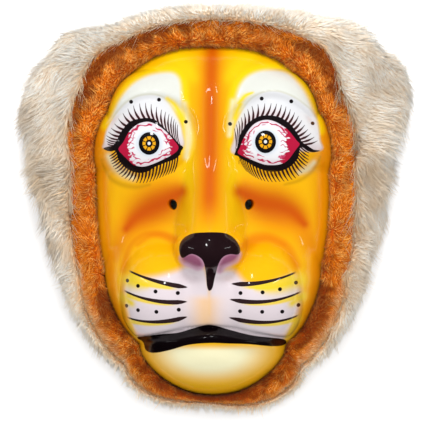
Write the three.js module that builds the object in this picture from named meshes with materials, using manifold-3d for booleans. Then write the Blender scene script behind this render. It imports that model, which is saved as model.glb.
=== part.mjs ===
// A carnival mask of a big cat's face: a hollow layered-paper shell with a lacquered face,
// an inner band of short orange plush round the face and an outer ruff of long cream fur.
// It lies on its back edge with the face up. Millimetres, +Z up, +Y towards the forehead.
// The origin is the middle of the footprint of the whole mask, on the surface it lies on.
import * as THREE from "three";
import { mergeVertices } from "three/addons/utils/BufferGeometryUtils.js";
import Module from "manifold-3d";

const wasm = await Module();
wasm.setup();

// The shell's back edge: a rounded crown above the widest line, an egg-shaped jaw below it.
const RIM_HALF_WIDTH = 105;
const CROWN_REACH = 137;
const CROWN_SQUARENESS = 2.6;
const JAW_REACH = 167;
const JAW_SQUARENESS = 1.94;
const WIDEST_LINE = 17.6; // height of the widest line above the face's centre
const WALL = 4;
const BACK_EDGE_STEP = 2; // the wall stands upright this far above the back edge
const CREASE_REACH = 1.3; // creases narrower than this many walls are bridged inside
const CREASE_WALL = 0.5;

// The plain dome that the features are built on.
const DOME_HEIGHT = 64;
const DOME_FULLNESS = 3.2;
const FALL = 260; // outside the back edge the formula falls away, in mm per share of the reach

// Features, measured from the face's centre. Those on both sides are given for the side of +X.
// Each volume stands from foot to top, and blend is the fillet where it meets the ones before.
const BROW = {
  x: 50, y: 80, halfWidth: 38, halfHeight: 46, foot: 30, top: 67, fullness: 0.6, squareness: 2.3, blend: 9,
};
const LID_GROOVE = { x: 48.5, y: 67, halfWidth: 41, halfHeight: 39.5, depth: 5.5 };
const LID = { x: 48.5, y: 66, halfWidth: 38, halfHeight: 36, foot: 42, top: 68, fullness: 0.52, blend: 4 };
const EYEBALL = { x: 47, y: 62, halfWidth: 29, halfHeight: 21, foot: 64, top: 70, fullness: 0.9, blend: 3 };
const CHEEK_HOLLOW = { x: 50, y: 4, halfWidth: 50, halfHeight: 30, depth: 7 };
const FOREHEAD_GROOVE = { halfWidth: 7, depth: 1.6, from: 30, to: 118, fade: 25 };
const BRIDGE = {
  top: 130, fadeFrom: 100, bottom: -14, blend: 16,
  rootHeight: 56, rootWidth: 21, rootDrop: 22,
  tipHeight: 106, tipWidth: 27, tipDrop: 44,
};
const NOSE_PAD = {
  x: 0, y: -24, halfWidth: 30, halfHeight: 21, foot: 70, top: 109, fullness: 0.5, squareness: 2.3, blend: 6,
};
const NOSTRIL = { x: 15, y: -42, halfWidth: 10, halfHeight: 8, depth: 4.5 };
const PHILTRUM = { halfWidth: 9, top: -46, depth: 3 };
const MUZZLE_FOLD = {
  x: 36, y: -50, halfWidth: 54, halfHeight: 57, foot: 30, top: 77, fullness: 0.75, blend: 12,
};
const MUZZLE_PAD = {
  x: 35, y: -58, halfWidth: 42, halfHeight: 46, foot: 34, top: 96, fullness: 0.5, squareness: 2.4,
};
const UPPER_LIP = {
  x: 0, y: -56, halfWidth: 30, halfHeight: 52, foot: 50, top: 95, fullness: 0.6, squareness: 2.3, blend: 14,
};
const MOUTH = { y: -82.5, halfWidth: 61, arch: 12.5, gap: 1.5, lipRadius: 9, drop: 40, blend: 5 };
const LOWER_LIP = { rise: 5.5, below: 9.5, halfHeight: 9.2, halfWidth: 62, taper: 18 };
const CHIN = {
  x: 0, y: -104, halfWidth: 63, halfHeight: 43, foot: 14, top: 84, fullness: 0.5, squareness: 2.3,
};

// Peepholes, drilled square to the flanks of the nose.
const PEEPHOLE_SPACING = 63.2;
const PEEPHOLE_LINE = 13.7;
const PEEPHOLE_WIDTH = 7.4;
const PEEPHOLE_HEIGHT = 8.8;
const PEEPHOLE_LEAN = 38; // degrees outward from straight ahead

// Fur. Both rings follow the shell's wall, and their widths are measured outward from it. A swell
// adds to a width about one direction, in degrees from +X towards the forehead.
const FUR_GAP = 0.8; // between neighbouring pieces
const FACE_EDGE_HEIGHT = 31; // where the orange plush meets the painted face
const BAND_WIDTH = 23; // orange plush, from the painted face's edge to the seam
const BAND_SWELLS = [
  { at: 58, size: 8, spread: 13 },
  { at: 131, size: 9, spread: 15 },
  { at: 268, size: -16, spread: 17 },
];
const BAND_CREST = 10; // its roll stands this far above the face's edge
const PLUSH_RIPPLE = 1.1;
const SEAM_HEIGHT = 27;
const RUFF_CROWN_WIDTH = 14; // cream fur, from the seam to its tips
const RUFF_CHIN_WIDTH = 6;
const RUFF_SWELLS = [
  { at: 0, size: 16, spread: 37 },
  { at: 180, size: 16, spread: 37 },
  { at: 38, size: 40, spread: 21 },
  { at: 148, size: 35, spread: 21 },
];
const RUFF_CREST_HEIGHT = 43;
const RUFF_CHIN_CREST_HEIGHT = 27;
const RUFF_CHIN_SPREAD = 62; // degrees to each side over which the ruff gets lower to the chin
const LOCK_DEPTH = 5; // how deep the hollows between locks of long fur are

// Mesh fineness.
const SHELL_COLUMNS = 42;
const SHELL_ROWS = 54;
const LINING_COLUMNS = 24;
const LINING_ROWS = 30;
const RING_STEPS = 84;
const BACK_STEPS = [1, 0.88, 0.68, 0.35, 0]; // shares of the height of the plush's back
const HOLE_SIDES = 16;
const SOFTENING = 2.6; // edges on the outside are rounded over about this reach

const radians = (degrees) => (degrees * Math.PI) / 180;
const clamp = (value, low, high) => Math.min(high, Math.max(low, value));

// 0 below low, 1 above high, smooth between.
function ease(low, high, value) {
  const t = clamp((value - low) / (high - low), 0, 1);
  return t * t * (3 - 2 * t);
}

// The higher of two heights, with the inner corner filled to a radius of about reach.
function blendUp(a, b, reach) {
  const overlap = Math.max(reach - Math.abs(a - b), 0) / reach;
  return Math.max(a, b) + (overlap * overlap * reach) / 4;
}

// How far the back edge lies from the face's centre, in the direction (x, y). The centre of the
// superellipses is on the widest line, so the distance is found from there.
function rimShare(x, y) {
  const up = y - WIDEST_LINE;
  const reach = up > 0 ? CROWN_REACH : JAW_REACH;
  const power = up > 0 ? CROWN_SQUARENESS : JAW_SQUARENESS;
  const across = Math.abs(x) / RIM_HALF_WIDTH;
  return Math.pow(Math.pow(across, power) + Math.pow(Math.abs(up) / reach, power), 1 / power);
}

// A point of the face plan: share 1 is the back edge, and angle is measured at the widest line.
function rimPoint(share, angle) {
  const x = Math.cos(angle);
  const y = Math.sin(angle);
  const scale = share / rimShare(x, y + WIDEST_LINE);
  return [x * scale, y * scale + WIDEST_LINE];
}

// An egg-like volume seen from the front: its height over the plan. A low fullness gives a blunt
// form with steep sides, and a squareness above 2 gives it corners.
function mound(x, y, form) {
  const across = Math.abs(x - form.x) / form.halfWidth;
  const along = Math.abs(y - form.y) / form.halfHeight;
  const power = form.squareness ?? 2;
  const inside = 1 - Math.pow(Math.pow(across, power) + Math.pow(along, power), 2 / power);
  const rise = form.top - form.foot;
  return form.foot + rise * (inside > 0 ? Math.pow(inside, form.fullness) : 2 * inside);
}

// A soft round hollow, deepest at its middle.
function hollow(x, y, form) {
  const across = (x - form.x) / form.halfWidth;
  const along = (y - form.y) / form.halfHeight;
  return form.depth * Math.exp(-2 * (across * across + along * along));
}

// A bell-shaped cross-section, 1 at its middle.
const ridge = (away, halfWidth) => Math.exp(-2 * Math.pow(away / halfWidth, 2));

function dome(x, y) {
  const share = rimShare(x, y);
  if (share >= 1) return -FALL * (share - 1);
  return DOME_HEIGHT * Math.sqrt(1 - Math.pow(share, DOME_FULLNESS));
}

// The bridge of the nose: a long ridge from the forehead that rises and widens to the nose pad.
function bridge(x, y) {
  const share = clamp((BRIDGE.top - y) / (BRIDGE.top - BRIDGE.bottom), 0, 1);
  const crest = BRIDGE.rootHeight + (BRIDGE.tipHeight - BRIDGE.rootHeight) * Math.pow(share, 1.75);
  const halfWidth = BRIDGE.rootWidth + (BRIDGE.tipWidth - BRIDGE.rootWidth) * share;
  const flank = Math.pow(Math.abs(x) / halfWidth, 2.6);
  const drop = ((BRIDGE.rootDrop + (BRIDGE.tipDrop - BRIDGE.rootDrop) * share) * flank) / (1 + 0.1 * flank);
  const above = Math.max(0, y - BRIDGE.fadeFrom);
  const below = Math.max(0, BRIDGE.bottom - y);
  return crest - drop - 0.022 * above * above - 0.045 * below * below;
}

// The shallow valley down the middle of the forehead.
function foreheadGroove(x, y) {
  const { halfWidth, depth, from, to, fade } = FOREHEAD_GROOVE;
  return depth * ridge(x, halfWidth) * ease(from, from + fade, y) * (1 - ease(to - fade, to, y));
}

// The groove round the upper lid, where the brow gives way to the lid.
function lidGroove(x, y) {
  const across = (x - LID_GROOVE.x) / LID_GROOVE.halfWidth;
  const along = (y - LID_GROOVE.y) / LID_GROOVE.halfHeight;
  const inside = 1 - ease(0.8, 1.04, Math.hypot(across, along));
  return LID_GROOVE.depth * inside * ease(-0.9, 0.3, along);
}

// The mouth is a shallow arch: its height in the face's plan at a distance from the middle.
function mouthLine(x) {
  const share = x / MOUTH.halfWidth;
  return MOUTH.y - MOUTH.arch * (Math.sqrt(share * share + 0.02) - Math.sqrt(0.02));
}

// Muzzle above the mouth: a pad on each side and the lip between them, ending at the mouth line.
function upperMuzzle(x, y) {
  const lips = blendUp(mound(x, y, MUZZLE_PAD), mound(x, y, UPPER_LIP), UPPER_LIP.blend);
  const below = 1 - ease(PHILTRUM.top - 14, PHILTRUM.top, y);
  const valley = PHILTRUM.depth * ridge(x, PHILTRUM.halfWidth) * below;
  return lips - valley - MOUTH.drop * ease(-1, MOUTH.lipRadius, mouthLine(x) - y);
}

// Chin below the mouth, with the lower lip as a roll along it.
function lowerMuzzle(x, y) {
  const line = mouthLine(x);
  const { rise, below, halfHeight, halfWidth, taper } = LOWER_LIP;
  const roll = rise * ridge(y - line + below, halfHeight) * (1 - ease(halfWidth - taper, halfWidth, x));
  return mound(x, y, CHIN) + roll - MOUTH.drop * ease(-1, MOUTH.lipRadius, y - line + MOUTH.gap);
}

// Height of the face over its plan, both measured from the face's centre.
function faceHeight(planX, y) {
  const x = Math.abs(planX);
  const plain = dome(x, y);
  if (plain <= 0) return plain;
  let z = blendUp(plain, mound(x, y, BROW), BROW.blend);
  z -= lidGroove(x, y) + hollow(x, y, CHEEK_HOLLOW);
  z = blendUp(z, bridge(x, y), BRIDGE.blend);
  for (const form of [LID, EYEBALL, MUZZLE_FOLD]) z = blendUp(z, mound(x, y, form), form.blend);
  z = blendUp(z, lowerMuzzle(x, y), MOUTH.blend);
  z = blendUp(z, upperMuzzle(x, y), MOUTH.blend);
  z = blendUp(z, mound(x, y, NOSE_PAD), NOSE_PAD.blend);
  z -= hollow(x, y, NOSTRIL) + foreheadGroove(x, y);
  // The features fade out at the back edge, so that it stays flat.
  return plain + (z - plain) * (1 - Math.pow(rimShare(x, y), 22));
}

// The outside with its sharpest edges rounded, to suit the fineness of its mesh.
function softHeight(x, y) {
  let sum = 2 * faceHeight(x, y);
  for (const [across, along] of [[1, 0], [0, 1], [-1, 0], [0, -1]]) {
    sum += faceHeight(x + SOFTENING * across, y + SOFTENING * along);
  }
  return sum / 6;
}

// Height of the inside: a ball as big as the wall is thick fits between it and the outside. Where
// the outside has a sharp crease the paper bridges it, so the wall never thins there.
function liningHeight(x, y) {
  let z = faceHeight(x, y) - WALL;
  for (const [reach, sink, sides] of [[0.6, 0.8, 8], [1, 0, 10], [CREASE_REACH, CREASE_WALL, 14]]) {
    for (let i = 0; i < sides; i++) {
      const angle = (2 * Math.PI * i) / sides;
      const nearX = x + WALL * reach * Math.cos(angle);
      const nearY = y + WALL * reach * Math.sin(angle);
      z = Math.min(z, faceHeight(nearX, nearY) - WALL * sink);
    }
  }
  return z;
}

// A square grid pressed into a disc, with its lines closer together near the edge.
function discPoint(column, row, columns, rows) {
  const crowd = (t) => t * (1.2 - 0.2 * t * t);
  const a = crowd((2 * column) / columns - 1);
  const b = crowd((2 * row) / rows - 1);
  return [a * Math.sqrt(1 - (b * b) / 2), b * Math.sqrt(1 - (a * a) / 2)];
}

// A solid under a height over the face's plan, closed by a flat base at level base.
function solidUnder(columns, rows, edgeShare, height, edgeHeight, base) {
  const positions = [];
  const triangles = [];
  const index = (column, row) => row * (columns + 1) + column;
  for (let row = 0; row <= rows; row++) {
    for (let column = 0; column <= columns; column++) {
      const [u, v] = discPoint(column, row, columns, rows);
      const onEdge = column === 0 || row === 0 || column === columns || row === rows;
      const [x, y] = rimPoint(edgeShare * Math.hypot(u, v), Math.atan2(v, u));
      positions.push(x, y, onEdge ? edgeHeight : Math.max(height(x, y), edgeHeight));
    }
  }
  for (let row = 0; row < rows; row++) {
    for (let column = 0; column < columns; column++) {
      const [a, b] = [index(column, row), index(column + 1, row)];
      const [c, d] = [index(column + 1, row + 1), index(column, row + 1)];
      const sameSide = column < columns / 2 === row < rows / 2;
      triangles.push(...(sameSide ? [a, b, c, a, c, d] : [a, b, d, b, c, d]));
    }
  }
  const edge = [];
  for (let column = 0; column < columns; column++) edge.push(index(column, 0));
  for (let row = 0; row < rows; row++) edge.push(index(columns, row));
  for (let column = columns; column > 0; column--) edge.push(index(column, rows));
  for (let row = rows; row > 0; row--) edge.push(index(0, row));
  const lower = edge.map((top) => {
    if (base === edgeHeight) return top;
    positions.push(positions[3 * top], positions[3 * top + 1], base);
    return positions.length / 3 - 1;
  });
  positions.push(0, WIDEST_LINE, base);
  const middle = positions.length / 3 - 1;
  edge.forEach((top, i) => {
    const next = (i + 1) % edge.length;
    if (base !== edgeHeight) {
      triangles.push(top, lower[i], edge[next], edge[next], lower[i], lower[next]);
    }
    triangles.push(middle, lower[next], lower[i]);
  });
  return closedGeometry(positions, triangles);
}

function closedGeometry(positions, triangles) {
  const geometry = new THREE.BufferGeometry();
  geometry.setAttribute("position", new THREE.Float32BufferAttribute(positions, 3));
  geometry.setIndex(triangles);
  return geometry;
}

function solidFrom(geometry) {
  const bare = geometry.clone();
  bare.deleteAttribute("normal");
  bare.deleteAttribute("uv");
  const merged = mergeVertices(bare, 1e-4);
  const vertProperties = new Float32Array(merged.attributes.position.array);
  const triVerts = new Uint32Array(merged.index.array);
  return new wasm.Manifold(new wasm.Mesh({ numProp: 3, vertProperties, triVerts }));
}

function geometryFrom(solid) {
  const mesh = solid.getMesh();
  return closedGeometry(Array.from(mesh.vertProperties), Array.from(mesh.triVerts));
}

// A drill for one peephole, leaning out to its side of the nose.
function peepholeDrill(side) {
  const x = (side * PEEPHOLE_SPACING) / 2;
  const drill = new THREE.CylinderGeometry(0.5, 0.5, 1, HOLE_SIDES);
  drill.rotateX(Math.PI / 2);
  drill.scale(PEEPHOLE_WIDTH, PEEPHOLE_HEIGHT, 12 * WALL);
  drill.rotateY(side * radians(PEEPHOLE_LEAN));
  drill.translate(x, PEEPHOLE_LINE, faceHeight(x, PEEPHOLE_LINE));
  return drill;
}

// The painted shell: everything under the face, less everything under the lining.
function faceShell() {
  const outside = solidFrom(solidUnder(SHELL_COLUMNS, SHELL_ROWS, 1, softHeight, 0, 0));
  const inset = 1 - WALL / RIM_HALF_WIDTH;
  const inside = solidFrom(
    solidUnder(LINING_COLUMNS, LINING_ROWS, inset, liningHeight, BACK_EDGE_STEP, -WALL),
  );
  let shell = outside.subtract(inside);
  for (const side of [-1, 1]) shell = shell.subtract(solidFrom(peepholeDrill(side)));
  return geometryFrom(shell);
}

// How much a list of swells adds at one angle.
function swellAt(angle, swells) {
  const degrees = THREE.MathUtils.radToDeg(angle);
  return swells.reduce((sum, { at, size, spread }) => {
    const away = ((degrees - at + 540) % 360) - 180;
    return sum + size * Math.exp(-Math.pow(away / spread, 2));
  }, 0);
}

// How far the shell's wall lies from the face's centre at one height, looking along one angle.
function wallReach(angle, height) {
  const far = 2 * (CROWN_REACH + JAW_REACH);
  let reach = far;
  let step = far / 2;
  while (step > 0.01) {
    const share = rimShare((reach - step) * Math.cos(angle), (reach - step) * Math.sin(angle));
    if (share >= 1) reach -= step;
    step /= 2;
  }
  const heightAt = (away) => faceHeight(away * Math.cos(angle), away * Math.sin(angle));
  while (reach > 0 && heightAt(reach) < height) reach -= 0.25;
  return reach;
}

// The seam between the orange plush and the cream fur.
const seamReach = (angle) => wallReach(angle, FACE_EDGE_HEIGHT) + BAND_WIDTH + swellAt(angle, BAND_SWELLS);

// The outer edge of the fur, with a big tuft at each upper corner.
function ruffReach(angle) {
  const crown = ease(-1, 1, Math.sin(angle));
  const width = RUFF_CHIN_WIDTH + (RUFF_CROWN_WIDTH - RUFF_CHIN_WIDTH) * crown;
  return seamReach(angle) + width + swellAt(angle, RUFF_SWELLS);
}

// Locks of long fur: three runs of waves that drift into each other across the ruff.
function locks(angle, across) {
  return 0.45 * Math.sin(13 * angle + 2.1 * across)
    + 0.35 * Math.sin(21 * angle - 3.4 * across + 1.3)
    + 0.2 * Math.sin(29 * angle + 5 * across + 4.1);
}

// A closed ring from one section per step, each a loop of [reach, height].
function ringFrom(sectionAt) {
  const positions = [];
  const triangles = [];
  let points = 0;
  for (let step = 0; step < RING_STEPS; step++) {
    const angle = (2 * Math.PI * step) / RING_STEPS;
    const section = sectionAt(angle);
    points = section.length;
    for (const [reach, height] of section) {
      positions.push(reach * Math.cos(angle), reach * Math.sin(angle), height);
    }
  }
  for (let step = 0; step < RING_STEPS; step++) {
    const here = step * points;
    const there = ((step + 1) % RING_STEPS) * points;
    for (let i = 0; i < points; i++) {
      const next = (i + 1) % points;
      triangles.push(here + i, there + i, here + next, there + i, there + next, here + next);
    }
  }
  return closedGeometry(positions, triangles);
}

// The orange plush: it hugs the shell's wall, rolls over above the face's edge and meets the seam.
function plushSection(angle) {
  const outer = seamReach(angle) - FUR_GAP / 2;
  const lift = PLUSH_RIPPLE * locks(angle, 2);
  // Each point of the back takes its reach from the wall below it, so the back clears the wall.
  const heights = BACK_STEPS.map((share) => share * FACE_EDGE_HEIGHT);
  const back = heights.map((height, i) => [
    wallReach(angle, heights[i + 1] ?? 0) + FUR_GAP,
    height,
  ]);
  const inner = back[0][0];
  const over = (share, rise) => [
    inner + (outer - inner) * share,
    FACE_EDGE_HEIGHT + (SEAM_HEIGHT - FACE_EDGE_HEIGHT) * share + rise + lift,
  ];
  return [
    [outer, 0],
    [outer, SEAM_HEIGHT],
    over(0.72, BAND_CREST * 0.75),
    over(0.34, BAND_CREST),
    over(0.08, BAND_CREST * 0.4),
    ...back,
  ];
}

// The cream ruff: a thick roll from the seam to the outer edge, lower under the chin.
function ruffSection(angle) {
  const inner = seamReach(angle) + FUR_GAP / 2;
  const outer = ruffReach(angle);
  const chin = swellAt(angle, [{ at: 270, size: 1, spread: RUFF_CHIN_SPREAD }]);
  const crest = RUFF_CREST_HEIGHT + (RUFF_CHIN_CREST_HEIGHT - RUFF_CREST_HEIGHT) * chin;
  const fullness = clamp((outer - inner) / 30, 0.3, 1);
  const lock = (across) => LOCK_DEPTH * fullness * locks(angle, across);
  const over = (share, height) => [
    inner + (outer - inner) * share + lock(share) * share,
    crest * height + lock(2 * share),
  ];
  return [
    [inner, 0],
    [inner + (outer - inner) * 0.9, 0],
    over(1, 0.28),
    over(0.93, 0.62),
    over(0.75, 0.87),
    over(0.45, 1),
    over(0.15, 0.9),
    [inner, SEAM_HEIGHT],
  ];
}

const FINISHES = {
  face_shell: { color: 0xf5a80f, roughness: 0.18, metalness: 0, make: faceShell },
  orange_plush_band: { color: 0xb8540f, roughness: 1, metalness: 0, make: () => ringFrom(plushSection) },
  cream_fur_ruff: { color: 0xd6c6b0, roughness: 1, metalness: 0, make: () => ringFrom(ruffSection) },
};

const mask = new THREE.Group();
for (const [name, { color, roughness, metalness, make }] of Object.entries(FINISHES)) {
  const material = new THREE.MeshStandardMaterial({ color, roughness, metalness });
  const mesh = new THREE.Mesh(make(), material);
  mesh.name = name;
  mask.add(mesh);
}

// The forms are drawn about the face's centre. The origin is the middle of the whole footprint.
const footprint = new THREE.Box3().setFromObject(mask).getCenter(new THREE.Vector3());
mask.position.set(-footprint.x, -footprint.y, 0);

export default mask;
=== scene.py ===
# %% [markdown]
# A carnival mask of a big cat: a moulded paper shell under thick gloss lacquer, a band of short
# orange plush round the painted face, and a ruff of long cream fur outside it. The frame holds
# three plain solids at their true size. This lesson dresses them: it models the face finely,
# paints it with shader maths alone, and grows the fur with Geometry Nodes.

# %% Load the frame
import math

import bpy
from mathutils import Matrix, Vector, kdtree
import numpy as np


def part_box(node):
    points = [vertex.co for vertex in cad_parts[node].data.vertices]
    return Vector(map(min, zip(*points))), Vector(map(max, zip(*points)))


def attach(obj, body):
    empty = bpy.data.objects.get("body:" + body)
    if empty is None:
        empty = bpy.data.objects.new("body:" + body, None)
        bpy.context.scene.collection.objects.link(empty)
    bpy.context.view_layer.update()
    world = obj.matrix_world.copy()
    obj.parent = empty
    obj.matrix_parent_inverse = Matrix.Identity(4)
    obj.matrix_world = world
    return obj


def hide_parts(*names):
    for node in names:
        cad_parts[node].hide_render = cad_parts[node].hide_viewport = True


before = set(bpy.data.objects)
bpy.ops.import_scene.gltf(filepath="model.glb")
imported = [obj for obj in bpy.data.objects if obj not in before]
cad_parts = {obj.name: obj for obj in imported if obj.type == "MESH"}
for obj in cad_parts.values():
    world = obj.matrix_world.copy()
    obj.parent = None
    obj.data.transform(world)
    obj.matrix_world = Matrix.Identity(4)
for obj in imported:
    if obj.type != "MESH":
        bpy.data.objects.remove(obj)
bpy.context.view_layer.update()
MM = 0.001
print("frame nodes:", sorted(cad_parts))

# %% [markdown]
# The mask lies on its back edge with the face up, so the camera looks down on it. All sizes
# below are in millimetres from the face's own centre, and `to_frame` is the only place where
# they become metres. The crown of the shell's back edge fixes that centre in the frame.

# %% Find the face's centre
WIDEST_LINE = 17.6
CROWN_REACH = 137.0
shell_low, shell_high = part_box("face_shell")
FACE_CENTRE_X = (shell_low[0] + shell_high[0]) / 2
FACE_CENTRE_Y = shell_high[1] - (WIDEST_LINE + CROWN_REACH) * MM


def to_frame(x, y, z):
    """Millimetres from the face's centre to metres in the shared frame."""
    columns = [FACE_CENTRE_X + x * MM, FACE_CENTRE_Y + y * MM, z * MM + 0 * x]
    return np.stack(columns, axis=-1)


print("face centre, mm:", round(FACE_CENTRE_X / MM, 2), round(FACE_CENTRE_Y / MM, 2))

# %% [markdown]
# A long lens from far away keeps the face flat, as in a catalogue picture. The lens follows from
# the width that the picture covers at the height of the eyes.

# %% Camera
CAMERA_DISTANCE = 1.45
CAMERA_TURN = math.radians(2.5)
PICTURE_WIDTH = 0.3526
SENSOR_WIDTH = 36.0
aim = to_frame(2.9, 5.2, 50.0)
sideways = CAMERA_DISTANCE * math.sin(CAMERA_TURN)
upwards = CAMERA_DISTANCE * math.cos(CAMERA_TURN)

camera_data = bpy.data.cameras.new("camera")
camera_data.sensor_width = SENSOR_WIDTH
camera_data.lens = SENSOR_WIDTH * CAMERA_DISTANCE / PICTURE_WIDTH
camera_data.clip_end = 20.0
camera = bpy.data.objects.new("camera", camera_data)
bpy.context.collection.objects.link(camera)
camera.location = (aim[0] + sideways, aim[1], aim[2] + upwards)
camera.rotation_euler = (0.0, CAMERA_TURN, 0.0)
bpy.context.scene.camera = camera
print("lens, mm:", round(camera_data.lens, 1))

# %% [markdown]
# Nearly every piece here starts as arrays of points and faces made with numpy, and becomes an
# object at the origin with its place in its mesh. Every piece then rides on the one body.

# %% Mesh helpers
def new_piece(name, points, faces, materials, smooth=True):
    """An object from points in metres and faces as index lists, with its materials."""
    mesh = bpy.data.meshes.new(name)
    mesh.from_pydata(points.tolist(), [], faces)
    mesh.update()
    mesh.polygons.foreach_set("use_smooth", [smooth] * len(mesh.polygons))
    piece = bpy.data.objects.new(name, mesh)
    bpy.context.collection.objects.link(piece)
    for material in materials:
        mesh.materials.append(material)
    return piece


def set_attribute(piece, name, values, kind="FLOAT"):
    """One value per point, kept as a named attribute of the mesh."""
    attribute = piece.data.attributes.new(name, kind, "POINT")
    key = "vector" if kind == "FLOAT_VECTOR" else "value"
    attribute.data.foreach_set(key, np.ascontiguousarray(values, dtype=np.float32).ravel())


def triangles_of(piece):
    return sum(len(polygon.vertices) - 2 for polygon in piece.data.polygons)


# %% [markdown]
# The face is a height over its plan. A plain dome carries brows, lids, a nose bridge and a
# muzzle, each an egg-like mound that is blended into what came before. The same forms and sizes
# shape the frame's solid, so the fine face fits it.

# %% Blends and mounds
def ease(low, high, value):
    """0 below low, 1 above high, smooth between."""
    t = np.clip((value - low) / (high - low), 0, 1)
    return t * t * (3 - 2 * t)


def blend_up(a, b, reach):
    """The higher of two heights, with a fillet of about reach in the corner between them."""
    overlap = np.maximum(reach - np.abs(a - b), 0) / reach
    return np.maximum(a, b) + overlap * overlap * reach / 4


def bell(away, half_width):
    return np.exp(-2 * (away / half_width) ** 2)


def hollow(x, y, centre, half, depth):
    """A soft round dent."""
    return depth * bell(x - centre[0], half[0]) * bell(y - centre[1], half[1])


def mound(x, y, centre, half, foot, top, fullness, squareness=2.0):
    """An egg seen from the front, from its foot to its top."""
    across = np.abs(x - centre[0]) / half[0]
    along = np.abs(y - centre[1]) / half[1]
    inside = 1 - (across ** squareness + along ** squareness) ** (2 / squareness)
    share = np.where(inside > 0, np.maximum(inside, 0) ** fullness, 2 * inside)
    return foot + (top - foot) * share


# %% [markdown]
# The back edge joins two superellipses on the widest line: a rounded crown and an egg-shaped
# jaw. `rim_share` is 0 at the middle of that line and 1 on the back edge.

# %% Outline and dome
RIM_HALF_WIDTH = 105.0
CROWN_SQUARENESS = 2.6
JAW_REACH = 167.0
JAW_SQUARENESS = 1.94
DOME_HEIGHT = 64.0
DOME_FULLNESS = 3.2
FALL = 260.0


def rim_share(x, y):
    up = y - WIDEST_LINE
    reach = np.where(up > 0, CROWN_REACH, JAW_REACH)
    power = np.where(up > 0, CROWN_SQUARENESS, JAW_SQUARENESS)
    return ((np.abs(x) / RIM_HALF_WIDTH) ** power + (np.abs(up) / reach) ** power) ** (1 / power)


def dome(x, y):
    share = rim_share(x, y)
    inside = DOME_HEIGHT * np.sqrt(np.maximum(1 - share ** DOME_FULLNESS, 0))
    return np.where(share >= 1, -FALL * (share - 1), inside)


# %% [markdown]
# The nose bridge rises from the forehead and widens to the nose pad. Above the mouth are the
# whisker pads, below it the chin and the roll of the lower lip, and the arched mouth line parts
# them with a crease.

# %% Bridge and muzzle
def bridge(x, y):
    share = np.clip((130 - y) / 144, 0, 1)
    crest = 56 + 50 * share ** 1.75
    flank = (np.abs(x) / (21 + 6 * share)) ** 2.6
    drop = (22 + 22 * share) * flank / (1 + 0.1 * flank)
    above = np.maximum(y - 100, 0)
    below = np.maximum(-14 - y, 0)
    return crest - drop - 0.022 * above ** 2 - 0.045 * below ** 2


def mouth_line(x):
    return -82.5 - 12.5 * (np.sqrt((x / 61) ** 2 + 0.02) - math.sqrt(0.02))


def upper_muzzle(x, y):
    pads = mound(x, y, (35, -58), (42, 46), 34, 96, 0.5, 2.4)
    lips = blend_up(pads, mound(x, y, (0, -56), (30, 52), 50, 95, 0.6, 2.3), 14)
    philtrum = 3 * bell(x, 9) * (1 - ease(-60, -46, y))
    return lips - philtrum - 40 * ease(-1, 9, mouth_line(x) - y)


def lower_muzzle(x, y):
    line = mouth_line(x)
    roll = 5.5 * bell(y - line + 9.5, 9.2) * (1 - ease(44, 62, x))
    chin = mound(x, y, (0, -104), (63, 43), 14, 84, 0.5, 2.3)
    return chin + roll - 40 * ease(-1, 9, y - line + 1.5)


# %% [markdown]
# The whole face adds these up in a sculptor's order: brows, the groove round the lids, cheeks,
# bridge, lids, eyeballs, muzzle, nose. A slow ripple keeps the lacquer's reflections hand-made.

# %% The face's height
def lid_groove(x, y):
    along = (y - 67) / 39.5
    inside = 1 - ease(0.8, 1.04, np.hypot((x - 48.5) / 41, along))
    return 5.5 * inside * ease(-0.9, 0.3, along)


def ripple(x, y):
    return 0.10 * np.sin(x / 7.3 + 1.7 * np.sin(y / 19)) + 0.08 * np.sin(y / 9.1 + x / 23)


def face_height(plan_x, y):
    x = np.abs(plan_x)
    plain = dome(x, y)
    z = blend_up(plain, mound(x, y, (50, 80), (38, 46), 30, 67, 0.6, 2.3), 9)
    z = z - lid_groove(x, y) - hollow(x, y, (50, 4), (50, 30), 7)
    z = blend_up(z, bridge(x, y), 16)
    z = blend_up(z, mound(x, y, (48.5, 66), (38, 36), 42, 68, 0.52), 4)
    z = blend_up(z, mound(x, y, (47, 62), (29, 21), 64, 70, 0.9), 3)
    z = blend_up(z, mound(x, y, (36, -50), (54, 57), 30, 77, 0.75), 12)
    z = blend_up(z, lower_muzzle(x, y), 5)
    z = blend_up(z, upper_muzzle(x, y), 5)
    z = blend_up(z, mound(x, y, (0, -24), (30, 21), 70, 109, 0.5, 2.3), 6)
    z = z - hollow(x, y, (15, -42), (10, 8), 4.5)
    groove = bell(x, 7) * ease(30, 55, y) * (1 - ease(93, 118, y))
    z = z - 1.6 * groove + ripple(plan_x, y)
    fade = 1 - np.minimum(rim_share(x, y), 1) ** 22
    return np.where(plain > 0, plain + (z - plain) * fade, plain)


print("nose tip height, mm:", round(float(face_height(np.array(0.0), np.array(-22.0))), 1))

# %% [markdown]
# The shell's mesh is a square grid pressed into the outline, with its lines closer together near
# the rim where the wall is steep. The lining is a second, coarser grid, one wall deeper, and a
# flat ring on the back edge closes the two into one solid shell.

# %% Grid pressed into the outline
SHELL_COLUMNS = 210
SHELL_ROWS = 290
WALL = 4.0
BACK_EDGE_STEP = 2.0


def crowd(t):
    return t * (1.2 - 0.2 * t * t)


def pressed_grid(columns, rows, share):
    """Plan positions of the grid's points, as two arrays of rows by columns."""
    a, b = np.meshgrid(
        crowd(np.linspace(-1, 1, columns + 1)),
        crowd(np.linspace(-1, 1, rows + 1)),
    )
    u = a * np.sqrt(1 - b * b / 2)
    v = b * np.sqrt(1 - a * a / 2)
    far = np.maximum(np.hypot(u, v), 1e-9)
    ring = rim_share(u / far, v / far + WIDEST_LINE)
    scale = share * far / np.where(ring > 0, ring, 1)
    return u / far * scale, v / far * scale + WIDEST_LINE


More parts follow.
